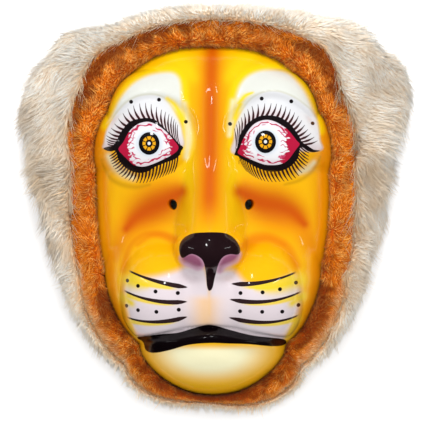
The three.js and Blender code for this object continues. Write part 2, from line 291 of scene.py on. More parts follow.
def grid_faces(columns, rows, first=0, up=True):
    faces = []
    for row in range(rows):
        for column in range(columns):
            a = first + row * (columns + 1) + column
            b, c, d = a + 1, a + columns + 2, a + columns + 1
            faces.append((a, b, c, d) if up else (d, c, b, a))
    return faces


def grid_edge(columns, rows, first=0):
    """The grid's border points, counter-clockwise from the first corner."""
    width = columns + 1
    bottom = [first + i for i in range(columns)]
    right = [first + columns + width * i for i in range(rows)]
    top = [first + rows * width + i for i in range(columns, 0, -1)]
    left = [first + width * i for i in range(rows, 0, -1)]
    return bottom + right + top + left


# %% [markdown]
# Papier-mache is as thick inside a crease as on a flat cheek. So the lining's height is the
# lowest of the outside's heights around each point, each lowered by its share of the wall.

# %% Shell points and faces
def lining_height(x, y):
    z = face_height(x, y) - WALL
    for reach, sink, sides in [(0.6, 0.8, 8), (1.0, 0.0, 10), (1.3, 0.5, 14)]:
        for i in range(sides):
            angle = 2 * math.pi * i / sides
            near_x = x + WALL * reach * math.cos(angle)
            near_y = y + WALL * reach * math.sin(angle)
            z = np.minimum(z, face_height(near_x, near_y) - WALL * sink)
    return z


outer_x, outer_y = pressed_grid(SHELL_COLUMNS, SHELL_ROWS, 1.0)
outer_z = np.maximum(face_height(outer_x, outer_y), 0)
outer_z[[0, -1], :] = 0
outer_z[:, [0, -1]] = 0

lining_columns = SHELL_COLUMNS // 2
lining_rows = SHELL_ROWS // 2
inner_x, inner_y = pressed_grid(lining_columns, lining_rows, 1 - WALL / RIM_HALF_WIDTH)
inner_z = np.maximum(lining_height(inner_x, inner_y), BACK_EDGE_STEP)
inner_z[[0, -1], :] = BACK_EDGE_STEP
inner_z[:, [0, -1]] = BACK_EDGE_STEP

outer_points = np.stack([outer_x, outer_y, outer_z], axis=-1).reshape(-1, 3)
inner_points = np.stack([inner_x, inner_y, inner_z], axis=-1).reshape(-1, 3)
outer_edge = grid_edge(SHELL_COLUMNS, SHELL_ROWS)
inner_edge = grid_edge(lining_columns, lining_rows, len(outer_points))
foot_points = inner_points[np.array(inner_edge) - len(outer_points)].copy()
foot_points[:, 2] = 0
shell_points = np.concatenate([outer_points, inner_points, foot_points])
first_foot = len(outer_points) + len(inner_points)

outer_faces = grid_faces(SHELL_COLUMNS, SHELL_ROWS)
inner_faces = grid_faces(lining_columns, lining_rows, len(outer_points), up=False)
for i in range(len(inner_edge)):
    after = (i + 1) % len(inner_edge)
    foot, next_foot = first_foot + i, first_foot + after
    inner_faces.append((inner_edge[i], inner_edge[after], next_foot, foot))
    a, b, c = (outer_edge[(2 * i + k) % len(outer_edge)] for k in range(3))
    inner_faces.append((c, b, a, foot, next_foot))
print("shell:", len(outer_faces), "faces outside,", len(inner_faces), "inside")

# %% [markdown]
# The wearer looks out through two small peepholes beside the nose, drilled straight through the
# paper. They are cut before anything is measured on the mesh, so the paint guides below know
# their edges too.

# %% Cut the peepholes
PEEPHOLE_SPACING = 63.2
PEEPHOLE_LINE = 13.7
PEEPHOLE_HALF_WIDTH = 3.7
PEEPHOLE_HALF_HEIGHT = 4.4
PEEPHOLE_LEAN = math.radians(38)


def peephole_drill(side):
    """A closed oval drill that leans out to its side of the nose."""
    x = side * PEEPHOLE_SPACING / 2
    top = float(face_height(np.array(x), np.array(PEEPHOLE_LINE)))
    sides = 40
    angles = np.arange(sides) * 2 * math.pi / sides
    rings = []
    for depth in (-24.0, 24.0):
        across = PEEPHOLE_HALF_WIDTH * np.cos(angles)
        turned = across * math.cos(PEEPHOLE_LEAN) + depth * math.sin(side * PEEPHOLE_LEAN)
        sunk = depth * math.cos(PEEPHOLE_LEAN) - across * math.sin(side * PEEPHOLE_LEAN)
        along = PEEPHOLE_LINE + PEEPHOLE_HALF_HEIGHT * np.sin(angles)
        rings.append(to_frame(x + turned, along, top + sunk))
    faces = [tuple(range(sides - 1, -1, -1)), tuple(range(sides, 2 * sides))]
    for i in range(sides):
        after = (i + 1) % sides
        faces.append((i, after, sides + after, sides + i))
    return new_piece(f"drill_{side}", np.concatenate(rings), faces, [])


lacquer = bpy.data.materials.new("lacquer_paint")
raw_paper = bpy.data.materials.new("layered_paper")
face_points = to_frame(shell_points[:, 0], shell_points[:, 1], shell_points[:, 2])
face = new_piece("lacquered_face", face_points, outer_faces + inner_faces, [lacquer, raw_paper])
inside_faces = np.arange(len(face.data.polygons)) >= len(outer_faces)
face.data.polygons.foreach_set("material_index", inside_faces.astype(np.int32))
for side in (-1, 1):
    drill = peephole_drill(side)
    cut = face.modifiers.new("cut", "BOOLEAN")
    cut.operation = "DIFFERENCE"
    cut.solver = "EXACT"
    cut.object = drill
    bpy.context.view_layer.update()
    evaluated = face.evaluated_get(bpy.context.evaluated_depsgraph_get())
    drilled = bpy.data.meshes.new_from_object(evaluated)
    face.modifiers.clear()
    face.data = drilled
    bpy.data.objects.remove(drill)
face.data.name = "lacquered_face"
print("face triangles:", triangles_of(face))

# %% [markdown]
# The painter's lines are kept as guides: numbers stored on the mesh's points, such as the
# distance to the edge of an eye. The mesh carries them smoothly from point to point, and the
# shader then cuts a crisp edge wherever a distance passes zero, finer than the mesh itself.

# %% Curves and distances
position = np.empty(len(face.data.vertices) * 3)
face.data.vertices.foreach_get("co", position)
position = position.reshape(-1, 3)
px = (position[:, 0] - FACE_CENTRE_X) / MM
py = (position[:, 1] - FACE_CENTRE_Y) / MM


def smooth_through(points, fine, closed=False):
    """Points of a Catmull-Rom curve through the given ones, fine steps for each span."""
    points = np.array(points, dtype=float)
    if closed:
        ends = np.concatenate([points[-1:], points, points[:2]])
    else:
        before = 2 * points[0] - points[1]
        after = 2 * points[-1] - points[-2]
        ends = np.concatenate([[before], points, [after]])
    curve = []
    for i in range(len(ends) - 3):
        a, b, c, d = ends[i:i + 4]
        for t in np.arange(fine) / fine:
            curve.append(
                b + 0.5 * t * (c - a)
                + t * t * (a - 2.5 * b + 2 * c - 0.5 * d)
                + t * t * t * (1.5 * (b - c) + 0.5 * (d - a))
            )
    if not closed:
        curve.append(points[-1])
    return np.array(curve)


def distance_to_segments(x, y, starts, ends):
    """The distance to the nearest segment."""
    nearest = np.full(len(x), 1e9)
    for (ax, ay), (bx, by) in zip(starts, ends):
        dx, dy = bx - ax, by - ay
        share = ((x - ax) * dx + (y - ay) * dy) / max(dx * dx + dy * dy, 1e-9)
        share = np.clip(share, 0, 1)
        nearest = np.minimum(nearest, (x - ax - share * dx) ** 2 + (y - ay - share * dy) ** 2)
    return np.sqrt(nearest)


def distance_to_loop(x, y, points, fine=5):
    """The distance to a smooth closed loop, negative inside it."""
    loop = smooth_through(points, fine, closed=True)
    after = np.roll(loop, -1, axis=0)
    inside = np.zeros(len(x), dtype=bool)
    for (ax, ay), (bx, by) in zip(loop, after):
        crosses = (ay > y) != (by > y)
        slope = (bx - ax) / (by - ay) if by != ay else 0.0
        inside ^= crosses & (x < ax + (y - ay) * slope)
    away = distance_to_segments(x, y, loop, after)
    return np.where(inside, -away, away)


def guide(name, values):
    set_attribute(face, name, values)
    print("guide", name, "from", round(float(values.min()), 1), "to", round(float(values.max()), 1))


# %% [markdown]
# Each loop below follows one painted edge. The two eyes are hand-painted and not mirror images,
# so each has its own loop.

# %% Eyes
EYE_LEFT = [
    (-75.2, 58.8), (-71.2, 64.1), (-68.5, 69.2), (-66.0, 73.3), (-61.7, 77.4), (-56.7, 80.1),
    (-50.7, 80.9), (-45.2, 79.2), (-39.7, 75.9), (-34.7, 71.5), (-30.4, 66.6), (-26.1, 60.9),
    (-27.2, 57.1), (-31.0, 54.1), (-35.3, 51.7), (-40.7, 49.2), (-46.2, 46.8), (-51.8, 45.0),
    (-56.3, 44.5), (-60.7, 45.3), (-64.0, 46.7), (-67.8, 50.5), (-71.7, 54.3),
]
EYE_RIGHT = [
    (22.0, 55.5), (23.9, 60.1), (25.9, 65.5), (28.6, 70.4), (31.8, 75.3), (35.6, 79.1),
    (40.5, 81.5), (45.9, 82.3), (51.3, 81.2), (56.8, 78.4), (62.2, 74.6), (66.5, 69.7),
    (69.8, 65.4), (72.2, 62.6), (69.8, 59.0), (67.0, 55.1), (63.8, 50.8), (60.0, 47.6),
    (54.6, 45.9), (48.6, 45.6), (43.2, 46.2), (37.8, 48.1), (32.4, 50.3), (26.9, 52.5),
]
LINE_LEFT = [
    (-89.2, 59.9), (-84.7, 61.2), (-80.1, 62.0), (-76.7, 65.9), (-74.1, 71.4), (-70.8, 76.2),
    (-66.9, 80.6), (-62.4, 82.7), (-57.4, 83.7), (-51.9, 84.2), (-46.4, 83.1), (-42.0, 80.3),
    (-37.5, 75.9), (-32.6, 71.0), (-28.8, 66.6), (-25.6, 62.9), (-22.2, 60.2), (-23.8, 57.2),
    (-24.6, 54.7), (-26.8, 52.0), (-30.5, 49.8), (-35.4, 48.2), (-40.9, 46.0), (-45.3, 44.2),
    (-49.9, 41.2), (-55.0, 39.7), (-60.1, 39.7), (-65.1, 41.1), (-69.6, 43.6), (-72.9, 46.9),
    (-75.6, 50.7), (-76.8, 55.1), (-78.3, 57.6), (-81.5, 57.2), (-85.6, 57.9),
]
LINE_RIGHT = [
    (19.2, 54.2), (20.6, 57.5), (22.0, 61.8), (23.1, 68.3), (25.8, 73.7), (29.5, 79.2),
    (33.9, 82.5), (38.8, 85.2), (44.2, 86.0), (49.7, 85.9), (55.1, 84.8), (60.0, 82.4),
    (64.9, 78.6), (68.7, 73.6), (71.9, 68.8), (74.1, 64.4), (79.6, 60.9), (84.0, 58.4),
    (89.6, 57.9), (84.0, 56.3), (79.0, 57.0), (75.7, 59.2), (73.0, 60.0), (71.9, 56.3),
    (70.9, 51.4), (67.6, 47.1), (63.8, 43.9), (58.4, 41.4), (51.8, 40.3), (45.3, 40.9),
    (39.9, 42.7), (35.0, 44.9), (29.6, 48.2), (24.7, 50.9), (21.9, 53.1),
]
EYES = [EYE_LEFT, EYE_RIGHT]
LINES = [LINE_LEFT, LINE_RIGHT]
guide("eye", np.minimum(*(distance_to_loop(px, py, loop) for loop in EYES)))
guide("eye_line", np.minimum(*(distance_to_loop(px, py, loop) for loop in LINES)))

# %% [markdown]
# The lids and the brows above them are white, with the lid's fold between them. The nose, its
# two plum nostrils, the mouth and the pads under the whiskers follow the same way.

# %% Lids, brows, nose, mouth and pads
LID_LEFT = [
    (-89.2, 59.9), (-88.9, 65.1), (-88.2, 70.7), (-86.9, 75.7), (-83.7, 82.7), (-79.2, 89.0),
    (-73.8, 94.8), (-67.4, 99.5), (-60.1, 102.9), (-52.4, 104.2), (-45.3, 104.0), (-39.3, 102.1),
    (-35.6, 98.9), (-31.8, 94.0), (-27.8, 87.8), (-25.0, 81.7), (-22.6, 72.9), (-22.2, 60.2),
    (-40.6, 61.6), (-75.2, 58.8),
]
LID_RIGHT = [
    (19.2, 54.2), (18.6, 67.4), (19.0, 76.2), (21.7, 85.1), (25.5, 92.2), (30.5, 98.7),
    (36.0, 102.9), (42.0, 105.6), (48.5, 106.9), (55.1, 106.4), (61.6, 104.5), (68.7, 101.3),
    (75.8, 96.6), (81.9, 91.5), (86.4, 85.3), (88.4, 77.2), (89.4, 67.1), (89.7, 57.7),
    (60.6, 56.1),
]
BROW_LEFT = [
    (-88.0, 78.0), (-81.6, 94.6), (-75.6, 104.9), (-66.2, 115.3), (-55.2, 122.2),
    (-43.8, 125.1), (-32.3, 125.2), (-25.4, 120.7), (-22.3, 112.8), (-21.1, 99.4),
    (-19.3, 82.5), (-16.1, 69.2), (-17.6, 56.0), (-21.6, 57.0), (-25.0, 81.7), (-55.0, 98.0),
]
BROW_RIGHT = [
    (15.2, 74.0), (15.6, 86.0), (17.4, 101.1), (21.0, 112.7), (28.3, 121.5), (39.6, 126.6),
    (52.7, 127.5), (64.1, 124.5), (73.6, 115.5), (81.1, 104.0), (87.8, 87.1), (89.5, 74.0),
    (80.0, 85.0), (52.0, 100.0), (24.0, 86.0), (19.0, 72.0),
]
NOSE = [
    (-23.8, -20.9), (-22.6, -16.3), (-18.9, -12.1), (-12.2, -9.3), (-2.9, -8.5), (7.9, -8.5),
    (15.0, -9.9), (20.4, -13.6), (24.0, -19.0), (24.9, -23.6), (23.2, -26.3), (17.1, -25.8),
    (11.8, -27.9), (8.1, -33.4), (4.8, -43.7), (3.1, -51.9), (0.6, -55.6), (-1.5, -51.9),
    (-2.4, -41.9), (-3.6, -32.4), (-7.2, -27.8), (-13.7, -25.6), (-20.5, -29.0), (-23.0, -26.3),
]
NOSTRIL_LEFT = [
    (-22.5, -28.0), (-13.7, -24.1), (-6.2, -27.8), (-3.6, -34.3), (-8.7, -38.1),
    (-16.0, -35.4), (-21.7, -32.7),
]
NOSTRIL_RIGHT = [
    (7.0, -37.2), (9.9, -28.8), (16.1, -24.6), (24.3, -25.2), (22.0, -31.7), (13.3, -35.8),
    (8.7, -40.5),
]
MOUTH = [
    (-62.1, -96.0), (-43.8, -91.8), (-26.4, -89.7), (-13.4, -85.9), (-0.2, -82.7),
    (14.4, -86.6), (32.7, -91.5), (58.9, -97.0), (58.0, -102.4), (32.8, -98.7), (14.6, -97.6),
    (0.0, -97.2), (-16.7, -98.8), (-32.0, -103.6), (-46.1, -107.1), (-54.0, -106.0),
    (-56.5, -99.9),
]
PAD_LEFT = [
    (-17.0, -33.0), (-27.0, -37.0), (-42.0, -41.0), (-58.0, -43.0), (-70.5, -45.0),
    (-72.9, -55.0), (-70.8, -67.0), (-67.4, -82.1), (-62.5, -95.6), (-40.0, -92.0),
    (0.0, -80.0), (0.0, -38.0),
]
PAD_RIGHT = [
    (12.0, -36.0), (22.0, -38.0), (33.0, -48.0), (48.0, -47.0), (69.0, -41.0), (75.5, -54.0),
    (74.6, -67.0), (70.9, -82.1), (61.4, -95.8), (38.0, -92.0), (0.0, -80.0), (0.0, -38.0),
]
guide("lid", np.minimum(*(distance_to_loop(px, py, loop) for loop in [LID_LEFT, LID_RIGHT])))
guide("brow", np.minimum(*(distance_to_loop(px, py, loop) for loop in [BROW_LEFT, BROW_RIGHT])))
guide("nose", distance_to_loop(px, py, NOSE))
nostrils = [NOSTRIL_LEFT, NOSTRIL_RIGHT]
guide("nostril", np.minimum(*(distance_to_loop(px, py, loop) for loop in nostrils)))
guide("mouth", distance_to_loop(px, py, MOUTH))
pads = np.minimum(*(distance_to_loop(px, py, loop) for loop in [PAD_LEFT, PAD_RIGHT]))
near_lip = np.exp(-((py - mouth_line(px)) / 6) ** 2) * (1 - ease(54, 66, np.abs(px)))
guide("pad", pads - 9 * near_lip)

# %% [markdown]
# Lashes and whiskers are brush strokes in a fan. A fan guide holds three numbers: which stroke
# a point belongs to, how far along it lies, and how wide the gap to the next stroke is there.
# The points come from a net of curves laid over the fan, each bending from its root to its tip.

# %% Fans of strokes
COLUMNS_PER_STROKE = 8
FAN_START = -0.3
FAN_END = 1.3
FAN_MARGIN = 5.0


def fan_guide(x, y, roots, middles, tips, spacing):
    """Stroke number, share of its length and gap in mm, for every point."""
    steps, shares = COLUMNS_PER_STROKE * spacing, 24
    spare = steps // 2
    keys = [smooth_through(line, steps) for line in (roots, middles, tips)]
    keys = [
        np.concatenate([2 * k[:1] - k[spare:0:-1], k, 2 * k[-1:] - k[-2:-spare - 2:-1]])
        for k in keys
    ]
    levels = np.linspace(FAN_START, FAN_END, shares)
    t = levels[:, None, None]
    net = (1 - t) ** 2 * keys[0] + 2 * t * (1 - t) * keys[1] + t * t * keys[2]
    number = (np.arange(net.shape[1]) - spare) / COLUMNS_PER_STROKE
    along = np.gradient(net, axis=1) * COLUMNS_PER_STROKE
    outward = np.gradient(net, axis=0) / ((FAN_END - FAN_START) / (shares - 1))
    tree = kdtree.KDTree(net.shape[0] * net.shape[1])
    for index, (a, b) in enumerate(net.reshape(-1, 2)):
        tree.insert((a, b, 0.0), index)
    tree.balance()
    nearest = [tree.find((a, b, 0.0)) for a, b in zip(x, y)]
    found = np.array([index for _, index, _ in nearest])
    far = np.array([distance for _, _, distance in nearest]) > FAN_MARGIN
    row, column = found // net.shape[1], found % net.shape[1]
    off = np.stack([x, y], axis=-1) - net[row, column]
    u, v = along[row, column], outward[row, column]
    area = u[:, 0] * v[:, 1] - u[:, 1] * v[:, 0]
    area = np.where(np.abs(area) < 1e-6, 1e-6, area)
    turn = (off[:, 0] * v[:, 1] - off[:, 1] * v[:, 0]) / area
    reach = (u[:, 0] * off[:, 1] - u[:, 1] * off[:, 0]) / area
    turn = number[column] + np.clip(turn, -0.4, 0.4)
    reach = levels[row] + np.clip(reach, -0.6, 0.6)
    reach = np.where(far, 2.0, reach)
    gap = np.abs(area) / np.maximum(np.hypot(v[:, 0], v[:, 1]), 1e-6)
    return np.stack([turn, reach, gap], axis=-1)


def two_sided(name, left, right):
    """One guide from a left and a right fan."""
    values = np.zeros((len(px), 3))
    for side, fan in ((px < 0, left), (px >= 0, right)):
        values[side] = fan_guide(px[side], py[side], *fan)
    set_attribute(face, name, values, "FLOAT_VECTOR")
    print("fan", name, "has strokes up to number", round(float(values[:, 0].max()), 1))


def bent(roots, tips, across, along=0.5):
    """Middle points of strokes that bulge sideways by across of their length."""
    roots, tips = np.array(roots), np.array(tips)
    run = tips - roots
    side = np.stack([run[:, 1], -run[:, 0]], axis=-1)
    return roots + run * along + side * across


# %% [markdown]
# Eight upper and seven lower lashes are given one by one, and the ones between them follow.
# Upper lashes are long and curve up and out, lower ones are short and slant outward.

# %% Lashes and whiskers
UPPER_ROOTS_LEFT = [
    (-80.7, 62.0), (-76.1, 66.5), (-71.6, 74.9), (-62.4, 82.7), (-49.7, 83.7), (-39.2, 78.1),
    (-30.7, 69.1), (-25.1, 62.9),
]
UPPER_TIPS_LEFT = [
    (-85.5, 63.7), (-86.5, 70.6), (-79.7, 80.3), (-68.4, 92.5), (-53.5, 97.0), (-40.2, 91.3),
    (-31.6, 85.8), (-26.8, 78.9),
]
UPPER_ROOTS_RIGHT = [
    (20.6, 58.5), (25.2, 73.2), (34.4, 83.0), (45.3, 85.9), (57.8, 83.5), (66.0, 77.5),
    (71.9, 69.3), (77.7, 62.5),
]
UPPER_TIPS_RIGHT = [
    (18.8, 76.2), (24.5, 85.0), (33.2, 94.3), (49.1, 96.3), (61.1, 93.6), (71.3, 86.0),
    (79.0, 75.1), (87.0, 66.0),
]
LOWER_ROOTS_LEFT = [
    (-77.7, 56.7), (-74.6, 48.5), (-68.0, 42.0), (-58.4, 39.7), (-46.4, 43.4), (-35.4, 47.7),
    (-26.8, 51.5),
]
LOWER_TIPS_LEFT = [
    (-83.8, 53.3), (-81.0, 45.0), (-73.9, 36.6), (-61.2, 31.4), (-50.1, 31.9), (-39.5, 36.2),
    (-30.2, 39.6),
]
LOWER_ROOTS_RIGHT = [
    (23.6, 51.5), (29.6, 48.2), (39.9, 42.7), (51.8, 40.6), (63.8, 43.9), (70.9, 51.4),
    (73.0, 60.1),
]
LOWER_TIPS_RIGHT = [
    (29.5, 40.1), (35.0, 36.3), (44.2, 32.5), (56.5, 32.1), (69.2, 35.0), (78.2, 45.0),
    (80.1, 55.5),
]
WHISKER_ROOTS_LEFT = [(-17.6, -52.4), (-17.9, -63.9), (-18.1, -76.3)]
WHISKER_MIDDLES_LEFT = [(-42.0, -49.0), (-43.0, -66.0), (-42.0, -83.5)]
WHISKER_TIPS_LEFT = [(-66.0, -39.8), (-70.4, -56.0), (-68.0, -78.0)]
WHISKER_ROOTS_RIGHT = [(18.2, -49.6), (16.9, -62.0), (16.1, -76.8)]
WHISKER_MIDDLES_RIGHT = [(44.0, -51.0), (46.0, -67.5), (46.0, -84.5)]
WHISKER_TIPS_RIGHT = [(69.4, -41.0), (73.4, -57.0), (71.4, -76.3)]

two_sided(
    "upper_lash",
    (UPPER_ROOTS_LEFT, bent(UPPER_ROOTS_LEFT, UPPER_TIPS_LEFT, -0.13), UPPER_TIPS_LEFT, 3),
    (UPPER_ROOTS_RIGHT, bent(UPPER_ROOTS_RIGHT, UPPER_TIPS_RIGHT, 0.11), UPPER_TIPS_RIGHT, 3),
)
two_sided(
    "lower_lash",
    (LOWER_ROOTS_LEFT, bent(LOWER_ROOTS_LEFT, LOWER_TIPS_LEFT, -0.10), LOWER_TIPS_LEFT, 4),
    (LOWER_ROOTS_RIGHT, bent(LOWER_ROOTS_RIGHT, LOWER_TIPS_RIGHT, 0.10), LOWER_TIPS_RIGHT, 4),
)
two_sided(
    "whisker",
    (WHISKER_ROOTS_LEFT, WHISKER_MIDDLES_LEFT, WHISKER_TIPS_LEFT, 1),
    (WHISKER_ROOTS_RIGHT, WHISKER_MIDDLES_RIGHT, WHISKER_TIPS_RIGHT, 1),
)

# %% [markdown]
# A dot's guide is the way from the nearest dot's middle, plus the distance itself, which keeps
# the place half-way between two dots from reading as a dot. The irises use the same idea.

# %% Dots and irises
DOTS = [
    (-67.0, -47.8), (-57.3, -51.6), (-42.5, -55.7), (-24.8, -56.9), (-67.9, -68.3),
    (-57.4, -71.1), (-42.0, -72.0), (-24.2, -70.3), (25.1, -56.8), (42.7, -56.2),
    (56.4, -54.0), (69.2, -49.4), (24.7, -71.4), (42.3, -71.8), (58.2, -72.1), (71.2, -67.8),
    (-65.5, 97.8), (-42.6, 99.4), (-20.6, 81.3), (15.6, 79.4), (41.3, 100.1), (65.4, 97.8),
    (82.9, 80.3),
]
IRISES = [(-49.7, 63.2), (44.6, 64.4)]


def nearest_guide(name, centres):
    """The way from the nearest centre, in mm, and the distance as the third number."""
    ways = np.stack([np.stack([px - cx, py - cy], axis=-1) for cx, cy in centres])
    away = np.hypot(ways[..., 0], ways[..., 1])
    best = away.argmin(axis=0)
    every = np.arange(len(px))
    values = np.concatenate([ways[best, every], away[best, every][:, None]], axis=-1)
    set_attribute(face, name, values, "FLOAT_VECTOR")
    print("guide", name, "for", len(centres), "centres")


nearest_guide("dot", DOTS)
nearest_guide("iris", IRISES)

# %% [markdown]
# Under the crisp lines lies airbrushed shading: burnt orange under the eyes and down the
# forehead, and amber at the sides; a lighter lemon lies on both sides of the bridge. The amber
# and deeper orange along the folds over the whisker pads, and the olive line under each lower
# lid, are painted shade in those creases. Each spray is a soft line whose reach, the third
# number of a point, can grow and shrink along it.

# %% Airbrush guides
def spray(points):
    """How much colour a soft spray along a path leaves, from 0 to 1."""
    path = smooth_through(points, 5)
    amount = np.zeros(len(px))
    for (ax, ay, reach_a), (bx, by, reach_b) in zip(path, path[1:]):
        dx, dy = bx - ax, by - ay
        share = ((px - ax) * dx + (py - ay) * dy) / max(dx * dx + dy * dy, 1e-9)
        share = np.clip(share, 0, 1)
        away = np.hypot(px - ax - share * dx, py - ay - share * dy)
        amount = np.maximum(amount, np.exp(-(away / (reach_a + (reach_b - reach_a) * share)) ** 2))
    return amount


def sprays(*paths):
    return np.max([spray(path) for path in paths], axis=0)


side_edge = ease(0.70, 0.95, rim_share(px, py)) * ease(-60, -10, py) * (1 - ease(95, 130, py))
stripe = bell(px, 12.5 + 0.02 * (140 - py)) * ease(-20, 22, py)
burnt = sprays(
    [(-24, 24, 6), (-36, 17, 11), (-49, 11, 12), (-62, 3, 8), (-70, -6, 4)],
    [(24, 24, 6), (40, 16, 11), (54, 13, 12), (66, 8, 9), (76, -2, 4)],
)
guide("burnt", np.maximum(burnt, stripe * 0.97))
amber_and_pad_shade = sprays(
    [(-28, 26, 8), (-46, 12, 19), (-68, -6, 14), (-82, -30, 8)],
    [(28, 26, 8), (50, 8, 17), (72, -2, 14), (84, -24, 9)],
    # Painted shade along the fold over each whisker pad:
    [(-28, -14, 3), (-42, -10, 4), (-56, -11, 4), (-67, -21, 4), (-72, -40, 4)],
    [(27, -20, 3), (34, -14, 5), (48, -13, 6), (62, -21, 5), (70, -36, 4)],
    [(-90, 40, 4), (-88, 0, 6), (-85, -30, 7), (-80, -70, 6), (-70, -100, 5)],
    [(92, 60, 5), (90, 0, 8), (87, -30, 9), (82, -70, 7), (72, -100, 5)],
)
guide("amber_and_pad_shade", np.maximum(amber_and_pad_shade * 0.78, side_edge * 0.75))
guide("lemon", sprays(
    [(-17, 70, 3), (-17, 45, 6), (-19, 20, 7), (-20, 2, 6)],
    [(15, 70, 3), (16, 45, 6), (18, 20, 7), (20, 2, 6)],
    [(-30, 135, 10), (-14, 118, 6)],
    [(30, 136, 10), (14, 118, 6)],
))
guide("cream", sprays(
    [(-22, 96, 3), (-19, 80, 4), (-18, 66, 4), (-20, 52, 3)],
    [(18, 98, 3), (16, 82, 3), (15, 70, 2.5)],
    [(-84, 53, 4), (-80, 46, 5), (-73, 40, 5), (-64, 36, 4)],
    [(84, 48, 3), (79, 43, 4), (72, 40, 3)],
))
guide("streak", sprays(
    [(-36, 100.5, 1.5), (-30, 95.5, 2.6), (-25, 87.5, 3.2), (-22, 81, 2)],
    [(22, 96, 1.5), (24, 98, 2.4), (28, 102.5, 2), (34, 105, 1)],
    [(19, 84, 2), (21, 90, 2.6), (24, 96, 2.4)],
))
# Painted shade: an olive line in the crease under each lower lid.
guide("painted_fold_shade", sprays(
    [(-91, 51, 1.0), (-89, 44, 1.4), (-83, 35, 1.8), (-73, 30, 2.2), (-61, 28, 2.0), (-50, 30, 1.2)],
    [(60, 30, 1.0), (71, 33, 1.6), (79, 38, 1.8), (86, 46, 1.4), (89, 53, 1.0)],
))
# Painted shade: deeper orange in the fold beside the nose, over each pad.
guide("painted_crease_shade", sprays(
    [(-25, -29, 2), (-28, -22, 3), (-31, -16, 3), (-41, -11, 2.6), (-50, -12, 2.4), (-60, -19, 2)],
    [(25, -31, 3), (28, -24, 4.5), (32, -19, 4.5), (39, -15, 3), (48, -14, 2.6), (60, -19, 2)],
))
guide("straw", sprays(
    [(-50, -51, 3), (-58, -50, 5), (-68, -48, 6)],
    [(-63, -66, 3), (-71, -62, 4.5)],
    [(-66, -84, 3), (-63, -94, 2.5)],
    [(38, -53, 2), (52, -53, 5), (72, -48, 6.5)],
    [(66, -66, 3), (74, -61, 4.5)],
    [(70, -80, 3.5), (62, -95, 2.5)],
))
guide("peach", bell(px + 3, 15) * (1 - ease(-64, -56, py)) * ease(-88, -80, py))
chin_way = np.hypot(px / 64, (py + 106) / 31)
guide("chin", (1 - ease(0.35, 1.05, chin_way)) * (1 - ease(-104, -96, py)))

# %% [markdown]
# Shader maths reads best as maths. A `Number` wraps one socket of a shader tree, and adding or
# multiplying two of them adds the Math node that does it.

# %% Shader maths
class Number:
    """One number of a shader tree."""

    def __init__(self, tree, socket):
        self.tree = tree
        self.socket = socket

    def maths(self, operation, *others, first=None):
        node = self.tree.nodes.new("ShaderNodeMath")
        node.operation = operation
        values = (self,) + others if first is None else (first, self)
        for slot, value in enumerate(values):
            plug(self.tree, node.inputs[slot], value)
        return Number(self.tree, node.outputs[0])

    def __add__(self, other):
        return self.maths("ADD", other)

    def __sub__(self, other):
        return self.maths("SUBTRACT", other)

    def __rsub__(self, other):
        return self.maths("SUBTRACT", first=other)

    def __mul__(self, other):
        return self.maths("MULTIPLY", other)

    def __truediv__(self, other):
        return self.maths("DIVIDE", other)

    def size(self):
        return self.maths("ABSOLUTE")

    def at_least(self, other):
        return self.maths("MAXIMUM", other)

    def at_most(self, other):
        return self.maths("MINIMUM", other)


def plug(tree, slot, value):
    """Set an input to a plain value, or link it to a number or a socket."""
    if isinstance(value, Number):
        value = value.socket
    if isinstance(value, bpy.types.NodeSocket):
        tree.links.new(value, slot)
    else:
        slot.default_value = value


def smooth(low, high, number):
    """0 below low, 1 above high, smooth between."""
    node = number.tree.nodes.new("ShaderNodeMapRange")
    node.interpolation_type = "SMOOTHSTEP"
    plug(number.tree, node.inputs["Value"], number)
    plug(number.tree, node.inputs["From Min"], low)
    plug(number.tree, node.inputs["From Max"], high)
    return Number(number.tree, node.outputs["Result"])


def below(edge, number, blur=0.16):
    """1 where the number is under the edge, with a brush-soft change."""
    return 1.0 - smooth(edge - blur, edge + blur, number)


def stored(tree, name):
    """A guide as one number."""
    node = tree.nodes.new("ShaderNodeAttribute")
    node.attribute_name = name
    return Number(tree, node.outputs["Fac"])


def stored_three(tree, name):
    """A guide of three numbers."""
    node = tree.nodes.new("ShaderNodeAttribute")
    node.attribute_name = name
    split = tree.nodes.new("ShaderNodeSeparateXYZ")
    tree.links.new(node.outputs["Vector"], split.inputs[0])
    return [Number(tree, socket) for socket in split.outputs]


def object_place(tree):
    """Where the point lies on the object, in metres."""
    return tree.nodes.new("ShaderNodeTexCoord").outputs["Object"]


def noise(tree, per_metre, detail=2.0, rough=0.5, stretch=(1, 1, 1)):
    """Smooth noise around 0.5, with so many blobs for each metre."""
    scale = tree.nodes.new("ShaderNodeMapping")
    tree.links.new(object_place(tree), scale.inputs["Vector"])
    scale.inputs["Scale"].default_value = [per_metre * s for s in stretch]
    node = tree.nodes.new("ShaderNodeTexNoise")
    tree.links.new(scale.outputs["Vector"], node.inputs["Vector"])
    node.inputs["Scale"].default_value = 1.0
    node.inputs["Detail"].default_value = detail
    node.inputs["Roughness"].default_value = rough
    return Number(tree, node.outputs["Fac"])


def rgb(red, green, blue):
    """A colour as a paint chart gives it, 0 to 255, made linear for the renderer."""
    parts = [channel / 255 for channel in (red, green, blue)]
    linear = [c / 12.92 if c <= 0.04045 else ((c + 0.055) / 1.055) ** 2.4 for c in parts]
    return (*linear, 1.0)


# %% [markdown]
# The Mix node keeps one A and one B input for each kind of data, all with the same names, so
# `coat` would catch the wrong ones by name. The colour ones are the seventh and eighth.

# %% Colour inputs of the Mix node
def coat(tree, mask, under, over):
    """Paint one colour over another where the mask is 1."""
    node = tree.nodes.new("ShaderNodeMix")
    node.data_type = "RGBA"
    plug(tree, node.inputs[0], mask)
    plug(tree, node.inputs[6], under)
    plug(tree, node.inputs[7], over)
    return node.outputs[2]


# %% [markdown]
# The painter starts with a warm yellow ground and airbrushes it, then lays the white lids and
# brows, and then the cream of the muzzle and chin. The same order here: every `coat` goes on
# top of the ones before.

